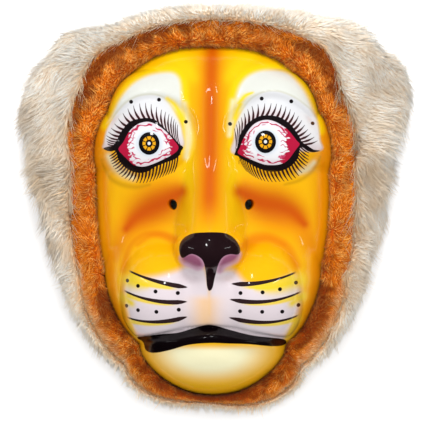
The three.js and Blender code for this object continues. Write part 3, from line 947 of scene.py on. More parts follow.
# %% Ground colours
YELLOW = rgb(255, 191, 2)
LEMON = rgb(255, 212, 6)
AMBER = rgb(236, 134, 2)
BURNT = rgb(214, 92, 2)
CREAM = rgb(243, 234, 190)
BROW_WHITE = rgb(230, 232, 224)
LID_WHITE = rgb(232, 233, 236)
LILAC = rgb(234, 221, 226)
PEACH = rgb(250, 204, 150)


def veil(mask):
    """A mask for pale paint over deep yellow, which thins out sooner than the ink does."""
    return mask.maths("POWER", 2.0)


lacquer.use_nodes = True
paint_tree = lacquer.node_tree
cloudy = noise(paint_tree, 28, 3)
paint = coat(paint_tree, smooth(0.35, 0.7, cloudy) * 0.25, YELLOW, rgb(252, 182, 8))
paint = coat(paint_tree, stored(paint_tree, "lemon") * 0.8, paint, LEMON)
# Amber: airbrushed paint at the sides and under the eyes, and painted shade along the folds over the
# pads.
paint = coat(paint_tree, stored(paint_tree, "amber_and_pad_shade"), paint, AMBER)
paint = coat(paint_tree, stored(paint_tree, "burnt"), paint, BURNT)
brow = stored(paint_tree, "brow")
paint = coat(paint_tree, 1.0 - smooth(0.0, 6.0, brow), paint, LEMON)
paint = coat(paint_tree, veil(1.0 - smooth(-5.5, 1.0, brow)), paint, BROW_WHITE)
paint = coat(paint_tree, veil(stored(paint_tree, "cream")) * 0.85, paint, CREAM)
lid = stored(paint_tree, "lid")
paint = coat(paint_tree, 1.0 - smooth(-2.2, 0.6, lid), paint, LID_WHITE)
# Painted shade: a grey line in the crease round each lid's edge; the next two coats are olive in the
# crease under the lower lids and deeper orange in the folds over the pads.
painted_fold_shade = 1.0 - smooth(0.0, 1.5, (lid + 0.4).size())
paint = coat(paint_tree, painted_fold_shade * 0.35, paint, rgb(196, 190, 150))
paint = coat(paint_tree, stored(paint_tree, "painted_fold_shade") * 0.45, paint, rgb(176, 128, 6))
paint = coat(paint_tree, stored(paint_tree, "painted_crease_shade") * 0.5, paint, rgb(236, 126, 2))
paint = coat(paint_tree, stored(paint_tree, "streak"), paint, rgb(255, 224, 16))
chin = stored(paint_tree, "chin")
paint = coat(paint_tree, veil(chin), paint, rgb(250, 244, 202))
pad = stored(paint_tree, "pad")
paint = coat(paint_tree, veil(1.0 - smooth(-6.0, 3.0, pad)), paint, LILAC)
paint = coat(paint_tree, stored(paint_tree, "straw"), paint, rgb(250, 218, 60))
paint = coat(paint_tree, stored(paint_tree, "peach") * 0.85, paint, PEACH)
print("ground coats laid, nodes:", len(paint_tree.nodes))

# %% [markdown]
# A fan's stroke is painted where a point lies closer to the middle of its stroke than the
# brush is wide there. The brush presses at the root and lifts towards the tip.

# %% Brush strokes
def strokes(tree, name, last, root_width, tip_width, start=-0.02, end=1.0, taper=0.0):
    """A mask of the strokes 0 to last of a fan, with their widths in mm."""
    turn, reach, gap = stored_three(tree, name)
    away = (turn - (turn + 0.5).maths("FLOOR")).size() * gap
    lift = smooth(0.1, end, reach)
    width = (1.0 - lift) * ((root_width - tip_width) / 2) + tip_width / 2
    width = width.maths("MINIMUM", gap * 0.3)
    if taper > 0:
        width = width * smooth(-0.5 * taper, taper, reach)
    stroke = 1.0 - smooth(-0.14, 0.14, away - width)
    ends = smooth(start - 0.02, start + 0.02, reach) * (1.0 - smooth(end - 0.06, end + 0.02, reach))
    inside = smooth(-0.6, -0.45, turn) * (1.0 - smooth(last + 0.45, last + 0.6, turn))
    return stroke * ends * inside


LASH = rgb(62, 30, 33)
INK = rgb(24, 17, 20)
eye_line = stored(paint_tree, "eye_line")
upper = strokes(paint_tree, "upper_lash", 21, 2.0, 0.4, start=-0.3)
lower = strokes(paint_tree, "lower_lash", 24, 1.9, 0.6, start=-0.3)
blush = (1.0 - smooth(0.5, 9.0, eye_line)) * (1.0 - smooth(-1.0, 0.5, lid))
paint = coat(paint_tree, blush * 0.45, paint, rgb(214, 180, 184))
paint = coat(paint_tree, lower, paint, LASH)
paint = coat(paint_tree, upper, paint, LASH)
paint = coat(paint_tree, below(0.0, eye_line), paint, INK)
print("lashes painted, nodes:", len(paint_tree.nodes))

# %% [markdown]
# The eyes stare: a white ball, crimson in both corners with ragged edges, thin veins that
# wander along its rim, and an iris that is a ring of eight yellow petals on black.

# %% Eyeballs
eye = stored(paint_tree, "eye")
iris_x, iris_y, iris_away = stored_three(paint_tree, "iris")
ragged = noise(paint_tree, 300, 1, 0.5, stretch=(0.4, 1.2, 1.0))
ball = coat(paint_tree, smooth(-7.0, 0.0, eye) * 0.55, rgb(240, 241, 245), rgb(219, 196, 208))
rim_wave = noise(paint_tree, 190, 1, 0.3)
rim_vein = (eye + 2.4 + (rim_wave - 0.5) * 5.0).size()
drawn = smooth(0.3, 0.38, noise(paint_tree, 120, 0))
ball = coat(paint_tree, below(0.6, rim_vein, 0.2) * drawn, ball, rgb(190, 38, 82))
inner_vein = (eye + 5.4 + (rim_wave - 0.5) * 7.0).size()
inner_drawn = smooth(0.52, 0.6, noise(paint_tree, 140, 0))
ball = coat(paint_tree, below(0.42, inner_vein, 0.2) * inner_drawn, ball, rgb(206, 80, 118))
branch = iris_y / 4.2 + (noise(paint_tree, 210, 1, 0.4) - 0.5) * 2.4
branch_away = (branch - (branch + 0.5).maths("FLOOR")).size() * 4.2
inward = iris_x.size() + (ragged - 0.5) * 5.0
branches = below(0.42, branch_away, 0.2) * smooth(11.0, 13.0, inward)
ball = coat(paint_tree, branches, ball, rgb(200, 60, 100))
corner = iris_x.size() + (ragged - 0.5) * 13.0 + (iris_y.size() - 6.0).at_least(0.0) * 0.35
ball = coat(paint_tree, smooth(16.6, 17.6, corner), ball, rgb(186, 22, 62))
halo = 1.0 - smooth(9.0, 12.5, iris_away)
ball = coat(paint_tree, halo * 0.5, ball, rgb(196, 212, 226))
iris_share = ((iris_x / 8.5).maths("POWER", 2.0) + (iris_y / 9.2).maths("POWER", 2.0)).maths("SQRT")
ball = coat(paint_tree, below(1.0, iris_share, 0.02), ball, rgb(16, 16, 20))
petal = iris_y.maths("ARCTAN2", iris_x) * (8 / (2 * math.pi))
petal_away = (petal - (petal + 0.5).maths("FLOOR")).size()
petals = below(0.39, petal_away, 0.05) * smooth(0.32, 0.36, iris_share) * below(0.63, iris_share, 0.03)
ball = coat(paint_tree, petals, ball, rgb(242, 172, 14))
ball = coat(paint_tree, below(0.15, iris_share, 0.02), ball, rgb(236, 238, 240))
paint = coat(paint_tree, below(0.0, eye), paint, ball)
print("eyes painted, nodes:", len(paint_tree.nodes))

# %% [markdown]
# Nose leather, lips and whisker lines are nearly black. Each whisker has a thin yellow shine
# under it, and the dots of the pads and brows come last.

# %% Nose, mouth, whiskers and dots
PLUM_BLACK = rgb(34, 18, 22)
nose = stored(paint_tree, "nose")
nostril = stored(paint_tree, "nostril")
nostril_pink = coat(paint_tree, smooth(-3.4, 0.8, nostril), rgb(156, 90, 120), rgb(206, 158, 182))
paint = coat(paint_tree, 1.0 - smooth(-0.4, 2.8, nostril), paint, nostril_pink)
paint = coat(paint_tree, below(0.0, nose, 0.25), paint, PLUM_BLACK)
mouth = below(0.0, stored(paint_tree, "mouth"), 0.25)
paint = coat(paint_tree, mouth, paint, rgb(14, 6, 9))
whisker_turn, whisker_reach, whisker_gap = stored_three(paint_tree, "whisker")
under = (whisker_turn - (whisker_turn + 0.5).maths("FLOOR")) * whisker_gap
first = 1.0 - smooth(0.4, 0.5, whisker_turn)
deep = whisker_reach * (first * 4.5 + 2.0)
shine = smooth(-1.2, 0.6, under) * (1.0 - smooth(1.6, 4.2, under - deep + 0.3))
shine = shine * smooth(0.02, 0.3, whisker_reach) * (1.0 - smooth(0.94, 1.0, whisker_reach))
shine = shine * smooth(-0.5, -0.4, whisker_turn) * (1.0 - smooth(2.4, 2.5, whisker_turn))
paint = coat(paint_tree, veil(shine) * 0.9, paint, rgb(250, 216, 40))
whiskers = strokes(paint_tree, "whisker", 2, 3.7, 1.5, start=0.0, taper=0.16)
paint = coat(paint_tree, whiskers, paint, rgb(50, 32, 34))
dot_x, dot_y, dot_away = stored_three(paint_tree, "dot")
dot_size = ((dot_x * dot_x) + (dot_y * dot_y)).maths("SQRT").at_least(dot_away * 0.7)
paint = coat(paint_tree, below(1.6, dot_size, 0.18), paint, INK)
# Last, a thin black coat takes a little light from every colour, to suit the lamps below.
paint = coat(paint_tree, 0.28, paint, rgb(0, 0, 0))
print("paint finished, nodes:", len(paint_tree.nodes))

# %% [markdown]
# Thick clear lacquer lies over it all. It is a smooth coat on a satin paint, and it pools a
# little, so a slow, shallow noise bends its reflections.
# The coat is thinner on the lips, which keeps them black.

# %% Lacquer
def finish_with(material, colour, roughness, normal=None, **plain):
    """Join a colour and plain values to a material's Principled shader."""
    shader = material.node_tree.nodes["Principled BSDF"]
    plug(material.node_tree, shader.inputs["Base Color"], colour)
    plug(material.node_tree, shader.inputs["Roughness"], roughness)
    if normal is not None:
        material.node_tree.links.new(normal, shader.inputs["Normal"])
    for name, value in plain.items():
        shader.inputs[name.replace("_", " ")].default_value = value


def bumped(tree, height, strength, distance):
    node = tree.nodes.new("ShaderNodeBump")
    node.inputs["Strength"].default_value = strength
    node.inputs["Distance"].default_value = distance
    plug(tree, node.inputs["Height"], height)
    return node.outputs["Normal"]


lacquer_shader = paint_tree.nodes["Principled BSDF"]
pooled = noise(paint_tree, 60, 2) + noise(paint_tree, 500, 1) * 0.06
finish_with(
    lacquer, paint, 0.32,
    normal=bumped(paint_tree, pooled, 0.5, 0.0012),
    Coat_Roughness=0.04, Coat_IOR=1.5, Specular_IOR_Level=0.12,
)
plug(paint_tree, lacquer_shader.inputs["Coat Weight"], 1.0 - mouth * 0.55)

raw_paper.use_nodes = True
paper_tree = raw_paper.node_tree
fibres = noise(paper_tree, 350, 4, 0.6)
patches = noise(paper_tree, 40, 2)
paper = coat(paper_tree, smooth(0.35, 0.65, patches), rgb(168, 148, 118), rgb(140, 120, 94))
paper = coat(paper_tree, smooth(0.45, 0.7, fibres) * 0.5, paper, rgb(192, 176, 150))
finish_with(raw_paper, paper, 0.85, normal=bumped(paper_tree, fibres, 0.6, 0.0008))
print("lacquer and paper ready")

# %% [markdown]
# The fur grows from two rings, one for the orange plush and one for the cream ruff. A ring's
# section at each angle starts from the place where the shell's wall reaches a given height.

# %% Where the fur rings run
FACE_EDGE_HEIGHT = 31.0
BAND_WIDTH = 23.0
RING_STEPS = 360
OUTSIDE_REACH = 185.0
SEARCH_STEP = 0.25
ring_angles = np.arange(RING_STEPS) * 2 * math.pi / RING_STEPS


def swell(angles, *swells):
    """Extra reach in mm from swells of (degrees, size, spread)."""
    total = np.zeros(len(angles))
    for at, size, spread in swells:
        away = (np.degrees(angles) - at + 540) % 360 - 180
        total += size * np.exp(-(away / spread) ** 2)
    return total


def wall_reach(height):
    """The first place from outside where the face is this high, for every angle."""
    reach = np.full(RING_STEPS, OUTSIDE_REACH)
    for _ in range(500):
        under = face_height(reach * np.cos(ring_angles), reach * np.sin(ring_angles)) < height
        reach = np.where(under, reach - SEARCH_STEP, reach)
    return reach


seam = wall_reach(FACE_EDGE_HEIGHT) + BAND_WIDTH
seam = seam + swell(ring_angles, (58, 8, 13), (131, 9, 15), (268, -16, 17))
ruff_width = 6 + 8 * ease(-1, 1, np.sin(ring_angles))
ruff_width = ruff_width + swell(ring_angles, (0, 16, 37), (180, 16, 37), (38, 40, 21), (148, 35, 21))
ruff_edge = seam + ruff_width
print("fur reaches", round(float(ruff_edge.max())), "mm from the face's centre")

# %% [markdown]
# Each ring is a closed skin under the fur. It stays lower than the frame's solid by about the
# height that the pile adds.

# %% Fur skins
def ring_piece(name, section_points, material):
    """A closed ring from an array of steps by points by (reach, height)."""
    steps, count, _ = section_points.shape
    reach, height = section_points[..., 0], section_points[..., 1]
    x = reach * np.cos(ring_angles)[:, None]
    y = reach * np.sin(ring_angles)[:, None]
    points = to_frame(x.ravel(), y.ravel(), height.ravel())
    faces = []
    for step in range(steps):
        for i in range(count):
            here, there = step * count, (step + 1) % steps * count
            after = (i + 1) % count
            faces.append((here + i, there + i, there + after, here + after))
    return new_piece(name, points, faces, [material])


def round_section(loop, fine=3):
    """A smooth closed section through the loop's points, which are arrays over the angles."""
    return np.stack([smooth_through(corner, fine, closed=True) for corner in loop])


orange_fur = bpy.data.materials.new("orange_plush_pile")
cream_fur = bpy.data.materials.new("cream_fur_pile")

wall_low = wall_reach(0.5) + 1.2
wall_middle = wall_reach(15.0) + 1.4
wall_high = wall_reach(FACE_EDGE_HEIGHT - 2) + 1.2
band = seam - 0.4
chin_share = swell(ring_angles, (270, 1, 62))
seam_top = 35 - 13 * chin_share
plush_loop = np.stack([
    np.stack([band, 0 * band + 2.0], -1),
    np.stack([band, 0 * band + 14.0], -1),
    np.stack([band, seam_top - 1.0], -1),
    np.stack([wall_high + (band - wall_high) * 0.68, 0 * band + 34.0], -1),
    np.stack([wall_high + (band - wall_high) * 0.34, 0 * band + 36.0], -1),
    np.stack([wall_high + 0.6, 0 * band + 32.5], -1),
    np.stack([wall_middle, 0 * band + 14.0], -1),
    np.stack([wall_low, 0 * band + 2.0], -1),
], axis=1)
plush_skin = ring_piece("orange_plush_skin", round_section(plush_loop), orange_fur)

crest = 43 + (27 - 43) * chin_share
width = ruff_edge - seam - 0.4
inner = seam + 0.4
inset = np.clip(0.26 * width - 1.0, 1.5, 10.0) - swell(ring_angles, (131, 6, 13), (46, 7, 13))


def lock_wave(angles, share):
    """Waves between locks of long fur, which drift into each other across the ruff."""
    return (
        0.45 * np.sin(11 * angles + 2.6 * share) + 0.35 * np.sin(19 * angles - 3.8 * share + 1.3)
        + 0.2 * np.sin(29 * angles + 5 * share + 4.1)
    )


def ruff_point(share, height):
    lock = 5.0 * np.clip((width - 6) / 24, 0.1, 1) * lock_wave(ring_angles, 3 * share)
    raised = np.where(height > 10, height + lock * (0.3 + share), height)
    return np.stack([inner + (width - inset) * share + lock * share * 0.55, raised], -1)


ruff_loop = np.stack([
    ruff_point(0.02, 0 * crest + 2.5),
    ruff_point(0.5, 0 * crest + 2.5),
    ruff_point(0.92, 0 * crest + 3.0),
    ruff_point(1.0, crest * 0.30),
    ruff_point(0.94, crest * 0.60),
    ruff_point(0.74, crest * 0.82),
    ruff_point(0.42, crest * 0.90),
    ruff_point(0.16, crest * 0.85),
    ruff_point(0.0, seam_top - 1.0),
], axis=1)
ruff_skin = ring_piece("cream_fur_skin", round_section(ruff_loop), cream_fur)
print("skins:", triangles_of(plush_skin), "and", triangles_of(ruff_skin), "triangles")

# %% [markdown]
# Long fur is combed: every hair leaves the skin half upright and then lies over towards where
# the groomer's brush went. Guides on the skin say that for any place: the way of the brush,
# laid flat on the skin, the length of the hair, how densely it grows and how far it stands up.
# Two more guides are for colour: "shade" is where the fur is painted darker, as painted shade in
# the valleys by the seam, under the chin and down the cream's sides, and "fade" grows to one
# beside the seam, where orange and cream run into each other.

# %% Grooming guides
def ring_arrays(loop, fine=3):
    """Reach, height and angle for every point of a ring's skin, flat in the mesh's order."""
    section_points = round_section(loop, fine)
    count = section_points.shape[1]
    angle = np.repeat(ring_angles, count)
    return section_points[..., 0].ravel(), section_points[..., 1].ravel(), angle


def per_point(values, count):
    """Repeats one value for each angle over the points of its section."""
    return np.repeat(values, count)


def unit(vectors):
    return vectors / np.maximum(np.linalg.norm(vectors, axis=-1, keepdims=True), 1e-9)


def along_skin(piece, ways):
    """Turns directions so that they lie along the skin, and makes them one long."""
    normal = np.empty(len(ways) * 3)
    piece.data.vertices.foreach_get("normal", normal)
    normal = normal.reshape(-1, 3)
    return unit(ways - normal * (ways * normal).sum(-1, keepdims=True))


reach, height, angle = ring_arrays(ruff_loop)
count = len(reach) // RING_STEPS
across = (reach - per_point(inner, count)) / per_point(width, count)
outward = np.stack([np.cos(angle), np.sin(angle), 0 * angle], -1)
downward = np.stack([-np.sin(angle), np.cos(angle), 0 * angle], -1)
downward = downward * np.where(np.cos(angle) > 0, -1, 1)[:, None]
fall = swell(angle, (138, 1.1, 30), (42, 1.1, 30))
fall = fall + 0.75 * np.cos(angle) ** 2 * np.clip(across + 0.2, 0, 1)
turn = 0.38 * np.sin(8 * angle + 2.5 * across) + 0.30 * np.sin(19 * angle - 4 * across + 2)
edge = ease(0.35, 0.9, across)
fall = fall + 0.7 * edge
away = 1 - 0.45 * np.clip(fall, 0, 1) - 0.35 * edge
comb = outward * (away - fall * turn)[:, None] + downward * (fall + away * turn)[:, None]
comb = comb - np.stack([0 * angle, 0 * angle, 0.5 * np.clip(across, 0, 1) ** 2], -1)
pile = np.clip(0.42 * per_point(width, count) + 4.5, 7.5, 18) * (1 - 0.35 * edge)
set_attribute(ruff_skin, "comb", along_skin(ruff_skin, comb), "FLOAT_VECTOR")
set_attribute(ruff_skin, "pile", pile * MM)
past_seam = reach - per_point(seam, count)
low = np.clip(swell(angle, (270, 1.3, 60)), 0, 1)
set_attribute(ruff_skin, "growth", ease(1.5, 5.5, height))
# Painted shade for the cream's colour: most down the left and right sides, a little under the chin.
painted_side_shade = swell(angle, (180, 0.9, 42), (0, 0.7, 42), (270, 0.3, 40))
set_attribute(ruff_skin, "shade", np.clip(painted_side_shade, 0, 1))
set_attribute(ruff_skin, "stand", 0.9 - 0.55 * ease(8, 24, per_point(width, count)))
set_attribute(ruff_skin, "fade", 1 - ease(-1.5, 4.0 + 2.5 * low, past_seam))

reach, height, angle = ring_arrays(plush_loop)
count = len(reach) // RING_STEPS
across = (reach - per_point(wall_high, count)) / per_point(band - wall_high, count)
outward = np.stack([np.cos(angle), np.sin(angle), 0 * angle], -1)
around = np.stack([-np.sin(angle), np.cos(angle), 0 * angle], -1)
twist = 1.6 * np.sin(7 * angle + 3 * across) + 1.2 * np.sin(17 * angle - 5 * across + 2)
away_from_face = 1.5 * ease(-0.05, 0.3, across) - 0.9 + 0.5 * np.cos(twist)
comb = outward * away_from_face[:, None] + around * 0.8 * np.sin(twist)[:, None]
# Painted shade for the plush: dark patches in the valley by the seam at the upper corners, by the
# face's edge low on each side, under the chin, and a little across the top.
shade = swell(angle, (134, 0.9, 19), (52, 0.9, 13), (108, 0.5, 8)) * bell(across - 0.74, 0.36)
shade = shade + swell(angle, (218, 1, 9), (318, 0.8, 10), (330, 0.5, 20)) * bell(across - 0.2, 0.5)
shade = shade + swell(angle, (270, 1.0, 36)) * bell(across - 0.2, 0.7) + swell(angle, (90, 0.5, 40))
short = np.clip(per_point(band - wall_high, count) / 20, 0.5, 1)
pile = (6.5 - 1.5 * ease(0.6, 1.0, across)) * short
set_attribute(plush_skin, "comb", along_skin(plush_skin, comb), "FLOAT_VECTOR")
set_attribute(plush_skin, "pile", pile * MM)
set_attribute(plush_skin, "growth", ease(18.0, 24.0, height) * ease(-0.12, 0.0, across))
set_attribute(plush_skin, "shade", np.clip(shade, 0, 1))
past_seam = reach - per_point(seam, count)
set_attribute(plush_skin, "stand", 0.7 + 0 * angle)
sides = np.clip(swell(angle, (224, 1.2, 24), (316, 1.2, 24)), 0, 1)
set_attribute(plush_skin, "fade", ease(-2.0 - 18.0 * sides, 2.5, past_seam))
print("groomed", len(ruff_skin.data.vertices) + len(plush_skin.data.vertices), "skin points")

# %% [markdown]
# One Geometry Nodes tree grows any pile. It scatters roots over the skin, stands a thin
# three-sided cone on each, and bends it: over in the comb's direction, towards the middle of its
# lock, and a little with the noise that makes neighbours sway alike.

# %% The pile tree
def vector_maths(tree, operation, first, second=None, scale=None):
    node = tree.nodes.new("ShaderNodeVectorMath")
    node.operation = operation
    plug(tree, node.inputs[0], first)
    if second is not None:
        plug(tree, node.inputs[1], second)
    if scale is not None:
        plug(tree, node.inputs["Scale"], scale)
    return node.outputs["Vector"]


def named(tree, name, kind="FLOAT"):
    node = tree.nodes.new("GeometryNodeInputNamedAttribute")
    node.data_type = kind
    node.inputs["Name"].default_value = name
    return node.outputs["Attribute"]


def store(tree, geometry, name, value, kind="FLOAT", domain="POINT"):
    node = tree.nodes.new("GeometryNodeStoreNamedAttribute")
    node.data_type = kind
    node.domain = domain
    node.inputs["Name"].default_value = name
    plug(tree, node.inputs["Geometry"], geometry)
    plug(tree, node.inputs["Value"], value)
    return node.outputs["Geometry"]


def random_number(tree, low, high, seed):
    node = tree.nodes.new("FunctionNodeRandomValue")
    node.data_type = "FLOAT"
    plug(tree, node.inputs[2], low)
    plug(tree, node.inputs[3], high)
    node.inputs["Seed"].default_value = seed
    return Number(tree, node.outputs[1])


def random_way(tree, seed):
    node = tree.nodes.new("FunctionNodeRandomValue")
    node.data_type = "FLOAT_VECTOR"
    node.inputs[0].default_value = (-1, -1, -1)
    node.inputs[1].default_value = (1, 1, 1)
    node.inputs["Seed"].default_value = seed
    return node.outputs[0]


PILE_INPUTS = [
    ("Roots per m2", "NodeSocketFloat"), ("Hair width", "NodeSocketFloat"),
    ("Length factor", "NodeSocketFloat"), ("Upright", "NodeSocketFloat"),
    ("Stray", "NodeSocketFloat"), ("Lie over", "NodeSocketFloat"),
    ("Lock size", "NodeSocketFloat"), ("Lock pull", "NodeSocketFloat"),
    ("Sway", "NodeSocketFloat"), ("Sway size", "NodeSocketFloat"),
    ("Segments", "NodeSocketInt"), ("Seed", "NodeSocketInt"), ("Finish", "NodeSocketMaterial"),
]


def pile_tree():
    tree = bpy.data.node_groups.new("pile", "GeometryNodeTree")
    tree.interface.new_socket("Skin", in_out="INPUT", socket_type="NodeSocketGeometry")
    for name, kind in PILE_INPUTS:
        tree.interface.new_socket(name, in_out="INPUT", socket_type=kind)
    tree.interface.new_socket("Pile", in_out="OUTPUT", socket_type="NodeSocketGeometry")
    given = tree.nodes.new("NodeGroupInput").outputs

    roots = tree.nodes.new("GeometryNodeDistributePointsOnFaces")
    tree.links.new(given["Skin"], roots.inputs["Mesh"])
    density = Number(tree, given["Roots per m2"]) * named(tree, "growth")
    plug(tree, roots.inputs["Density"], density)
    tree.links.new(given["Seed"], roots.inputs["Seed"])

    stands = Number(tree, named(tree, "stand")) * given["Upright"]
    upright = vector_maths(tree, "SCALE", roots.outputs["Normal"], scale=stands)
    stray = vector_maths(tree, "SCALE", random_way(tree, 11), scale=given["Stray"])
    way = vector_maths(tree, "ADD", upright, named(tree, "comb", "FLOAT_VECTOR"))
    way = vector_maths(tree, "NORMALIZE", vector_maths(tree, "ADD", way, stray))
    run = Number(tree, named(tree, "pile")) * given["Length factor"] * random_number(tree, 0.6, 1.1, 12)
    here = tree.nodes.new("GeometryNodeInputPosition").outputs[0]
    points = store(tree, roots.outputs["Points"], "root", here, "FLOAT_VECTOR")
    points = store(tree, points, "run", run)
    points = store(tree, points, "skin_way", roots.outputs["Normal"], "FLOAT_VECTOR")
    points = store(tree, points, "tone", random_number(tree, 0.0, 1.0, 13))

    cone = tree.nodes.new("GeometryNodeMeshCone")
    cone.fill_type = "NGON"
    cone.inputs["Vertices"].default_value = 3
    tree.links.new(given["Segments"], cone.inputs["Side Segments"])
    cone.inputs["Radius Top"].default_value = 0.0
    cone.inputs["Radius Bottom"].default_value = 1.0
    cone.inputs["Depth"].default_value = 1.0
    cone_place = tree.nodes.new("ShaderNodeSeparateXYZ")
    tree.links.new(here, cone_place.inputs[0])
    hair = store(tree, cone.outputs["Mesh"], "along", Number(tree, cone_place.outputs["Z"]))

    turn = tree.nodes.new("FunctionNodeAlignRotationToVector")
    turn.axis = "Z"
    tree.links.new(way, turn.inputs["Vector"])
    thick = tree.nodes.new("ShaderNodeCombineXYZ")
    half = Number(tree, given["Hair width"]) * random_number(tree, 0.35, 0.65, 14)
    for slot, value in enumerate((half, half, run)):
        plug(tree, thick.inputs[slot], value)
    stand = tree.nodes.new("GeometryNodeInstanceOnPoints")
    tree.links.new(points, stand.inputs["Points"])
    tree.links.new(hair, stand.inputs["Instance"])
    tree.links.new(turn.outputs[0], stand.inputs["Rotation"])
    tree.links.new(thick.outputs[0], stand.inputs["Scale"])
    made = tree.nodes.new("GeometryNodeRealizeInstances")
    tree.links.new(stand.outputs["Instances"], made.inputs["Geometry"])

    along = Number(tree, named(tree, "along"))
    bend = along * along * named(tree, "run")
    root = named(tree, "root", "FLOAT_VECTOR")
    way_over = named(tree, "comb", "FLOAT_VECTOR")
    over = vector_maths(tree, "SCALE", way_over, scale=bend * given["Lie over"])
    cells = tree.nodes.new("ShaderNodeTexVoronoi")
    tree.links.new(root, cells.inputs["Vector"])
    plug(tree, cells.inputs["Scale"], Number(tree, given["Lock size"]).maths("DIVIDE", first=1.0))
    to_lock = vector_maths(tree, "SUBTRACT", cells.outputs["Position"], root)
    lock = vector_maths(tree, "SCALE", to_lock, scale=along * given["Lock pull"])
    drift = tree.nodes.new("ShaderNodeTexNoise")
    tree.links.new(root, drift.inputs["Vector"])
    plug(tree, drift.inputs["Scale"], Number(tree, given["Sway size"]).maths("DIVIDE", first=1.0))
    drift.inputs["Detail"].default_value = 1.5
    sway = vector_maths(tree, "SUBTRACT", drift.outputs["Color"], (0.5, 0.5, 0.5))
    sway = vector_maths(tree, "SCALE", sway, scale=bend * given["Sway"])
    move = vector_maths(tree, "ADD", vector_maths(tree, "ADD", over, lock), sway)
    bent_hair = tree.nodes.new("GeometryNodeSetPosition")
    tree.links.new(made.outputs["Geometry"], bent_hair.inputs["Geometry"])
    tree.links.new(move, bent_hair.inputs["Offset"])

    split = tree.nodes.new("ShaderNodeSeparateXYZ")
    tree.links.new(here, split.inputs[0])
    above = tree.nodes.new("ShaderNodeCombineXYZ")
    tree.links.new(split.outputs["X"], above.inputs["X"])
    tree.links.new(split.outputs["Y"], above.inputs["Y"])
    plug(tree, above.inputs["Z"], Number(tree, split.outputs["Z"]).at_least(0.0004))
    rested = tree.nodes.new("GeometryNodeSetPosition")
    tree.links.new(bent_hair.outputs["Geometry"], rested.inputs["Geometry"])
    tree.links.new(above.outputs[0], rested.inputs["Position"])

    shade = tree.nodes.new("GeometryNodeSetShadeSmooth")
    tree.links.new(rested.outputs["Geometry"], shade.inputs["Geometry"])
    paint_hair = tree.nodes.new("GeometryNodeSetMaterial")
    tree.links.new(shade.outputs["Geometry"], paint_hair.inputs["Geometry"])
    tree.links.new(given["Finish"], paint_hair.inputs["Material"])
    out = tree.nodes.new("NodeGroupOutput")
    tree.links.new(paint_hair.outputs["Geometry"], out.inputs["Pile"])
    return tree


PILE = pile_tree()
print("pile tree has", len(PILE.nodes), "nodes")

# %% [markdown]
# `grow` runs the tree on a copy of a skin and keeps the result as a plain mesh. The ruff takes
# three piles, from a short dense undercoat to long loose top hair, and the plush takes two.

# %% Grow the fur
def grow(name, skin, finish, **values):
    """A piece with the pile that the tree grows on a skin."""
    holder = skin.copy()
    holder.data = skin.data.copy()
    bpy.context.collection.objects.link(holder)
    modifier = holder.modifiers.new("pile", "NODES")
    modifier.node_group = PILE
    values = {key.replace("_", " "): value for key, value in values.items()}
    values["Finish"] = finish
    for item in PILE.interface.items_tree:
        if item.in_out == "INPUT" and item.name in values:
            modifier[item.identifier] = values[item.name]
    bpy.context.view_layer.update()
    evaluated = holder.evaluated_get(bpy.context.evaluated_depsgraph_get())
    mesh = bpy.data.meshes.new_from_object(evaluated)
    bpy.data.objects.remove(holder)
    mesh.name = name
    for attribute in ("comb", "root", "run", "pile", "growth", "stand"):
        if attribute in mesh.attributes:
            mesh.attributes.remove(mesh.attributes[attribute])
    piece = bpy.data.objects.new(name, mesh)
    bpy.context.collection.objects.link(piece)
    print(name, "has", triangles_of(piece), "triangles")
    return piece


ruff_piles = [
    grow(
        "cream_undercoat", ruff_skin, cream_fur, Roots_per_m2=460000.0, Hair_width=0.0012,
        Length_factor=0.55, Upright=1.2, Stray=0.35, Lie_over=0.0, Lock_size=0.010,
        Lock_pull=0.0, Sway=0.0, Sway_size=0.02, Segments=1, Seed=3,
    ),
    grow(
        "cream_locks", ruff_skin, cream_fur, Roots_per_m2=164000.0, Hair_width=0.0009,
        Length_factor=1.0, Upright=0.9, Stray=0.16, Lie_over=0.15, Lock_size=0.006,
        Lock_pull=0.55, Sway=1.5, Sway_size=0.014, Segments=3, Seed=5,
    ),
    grow(
        "cream_top_hair", ruff_skin, cream_fur, Roots_per_m2=164000.0, Hair_width=0.0006,
        Length_factor=1.15, Upright=1.2, Stray=0.22, Lie_over=0.1, Lock_size=0.009,
        Lock_pull=0.5, Sway=2.0, Sway_size=0.018, Segments=3, Seed=7,
    ),
]
plush_piles = [
    grow(
        "orange_pile", plush_skin, orange_fur, Roots_per_m2=860000.0, Hair_width=0.0010,
        Length_factor=0.7, Upright=1.1, Stray=0.6, Lie_over=0.0, Lock_size=0.004,
        Lock_pull=0.0, Sway=0.0, Sway_size=0.007, Segments=1, Seed=9,
    ),
    grow(
        "orange_tips", plush_skin, orange_fur, Roots_per_m2=320000.0, Hair_width=0.0007,
        Length_factor=1.1, Upright=0.8, Stray=0.5, Lie_over=0.3, Lock_size=0.004,
        Lock_pull=0.4, Sway=1.8, Sway_size=0.006, Segments=2, Seed=11,
    ),
]

# %% [markdown]
# Fur looks deep because its roots are painted dark, as painted shade deep in the pile, and its
# tips are painted light where they catch the lamps. Both furs share one group that turns a hair's
# guides into a root-to-tip colour, with patches of painted light and shade that drift over many
# hairs.
# A cone is a crude hair, so its normal is leant towards the skin's. A whole lock is then lit
# as one soft form, and neither fur turns grey where cones stand edge-on to the light.

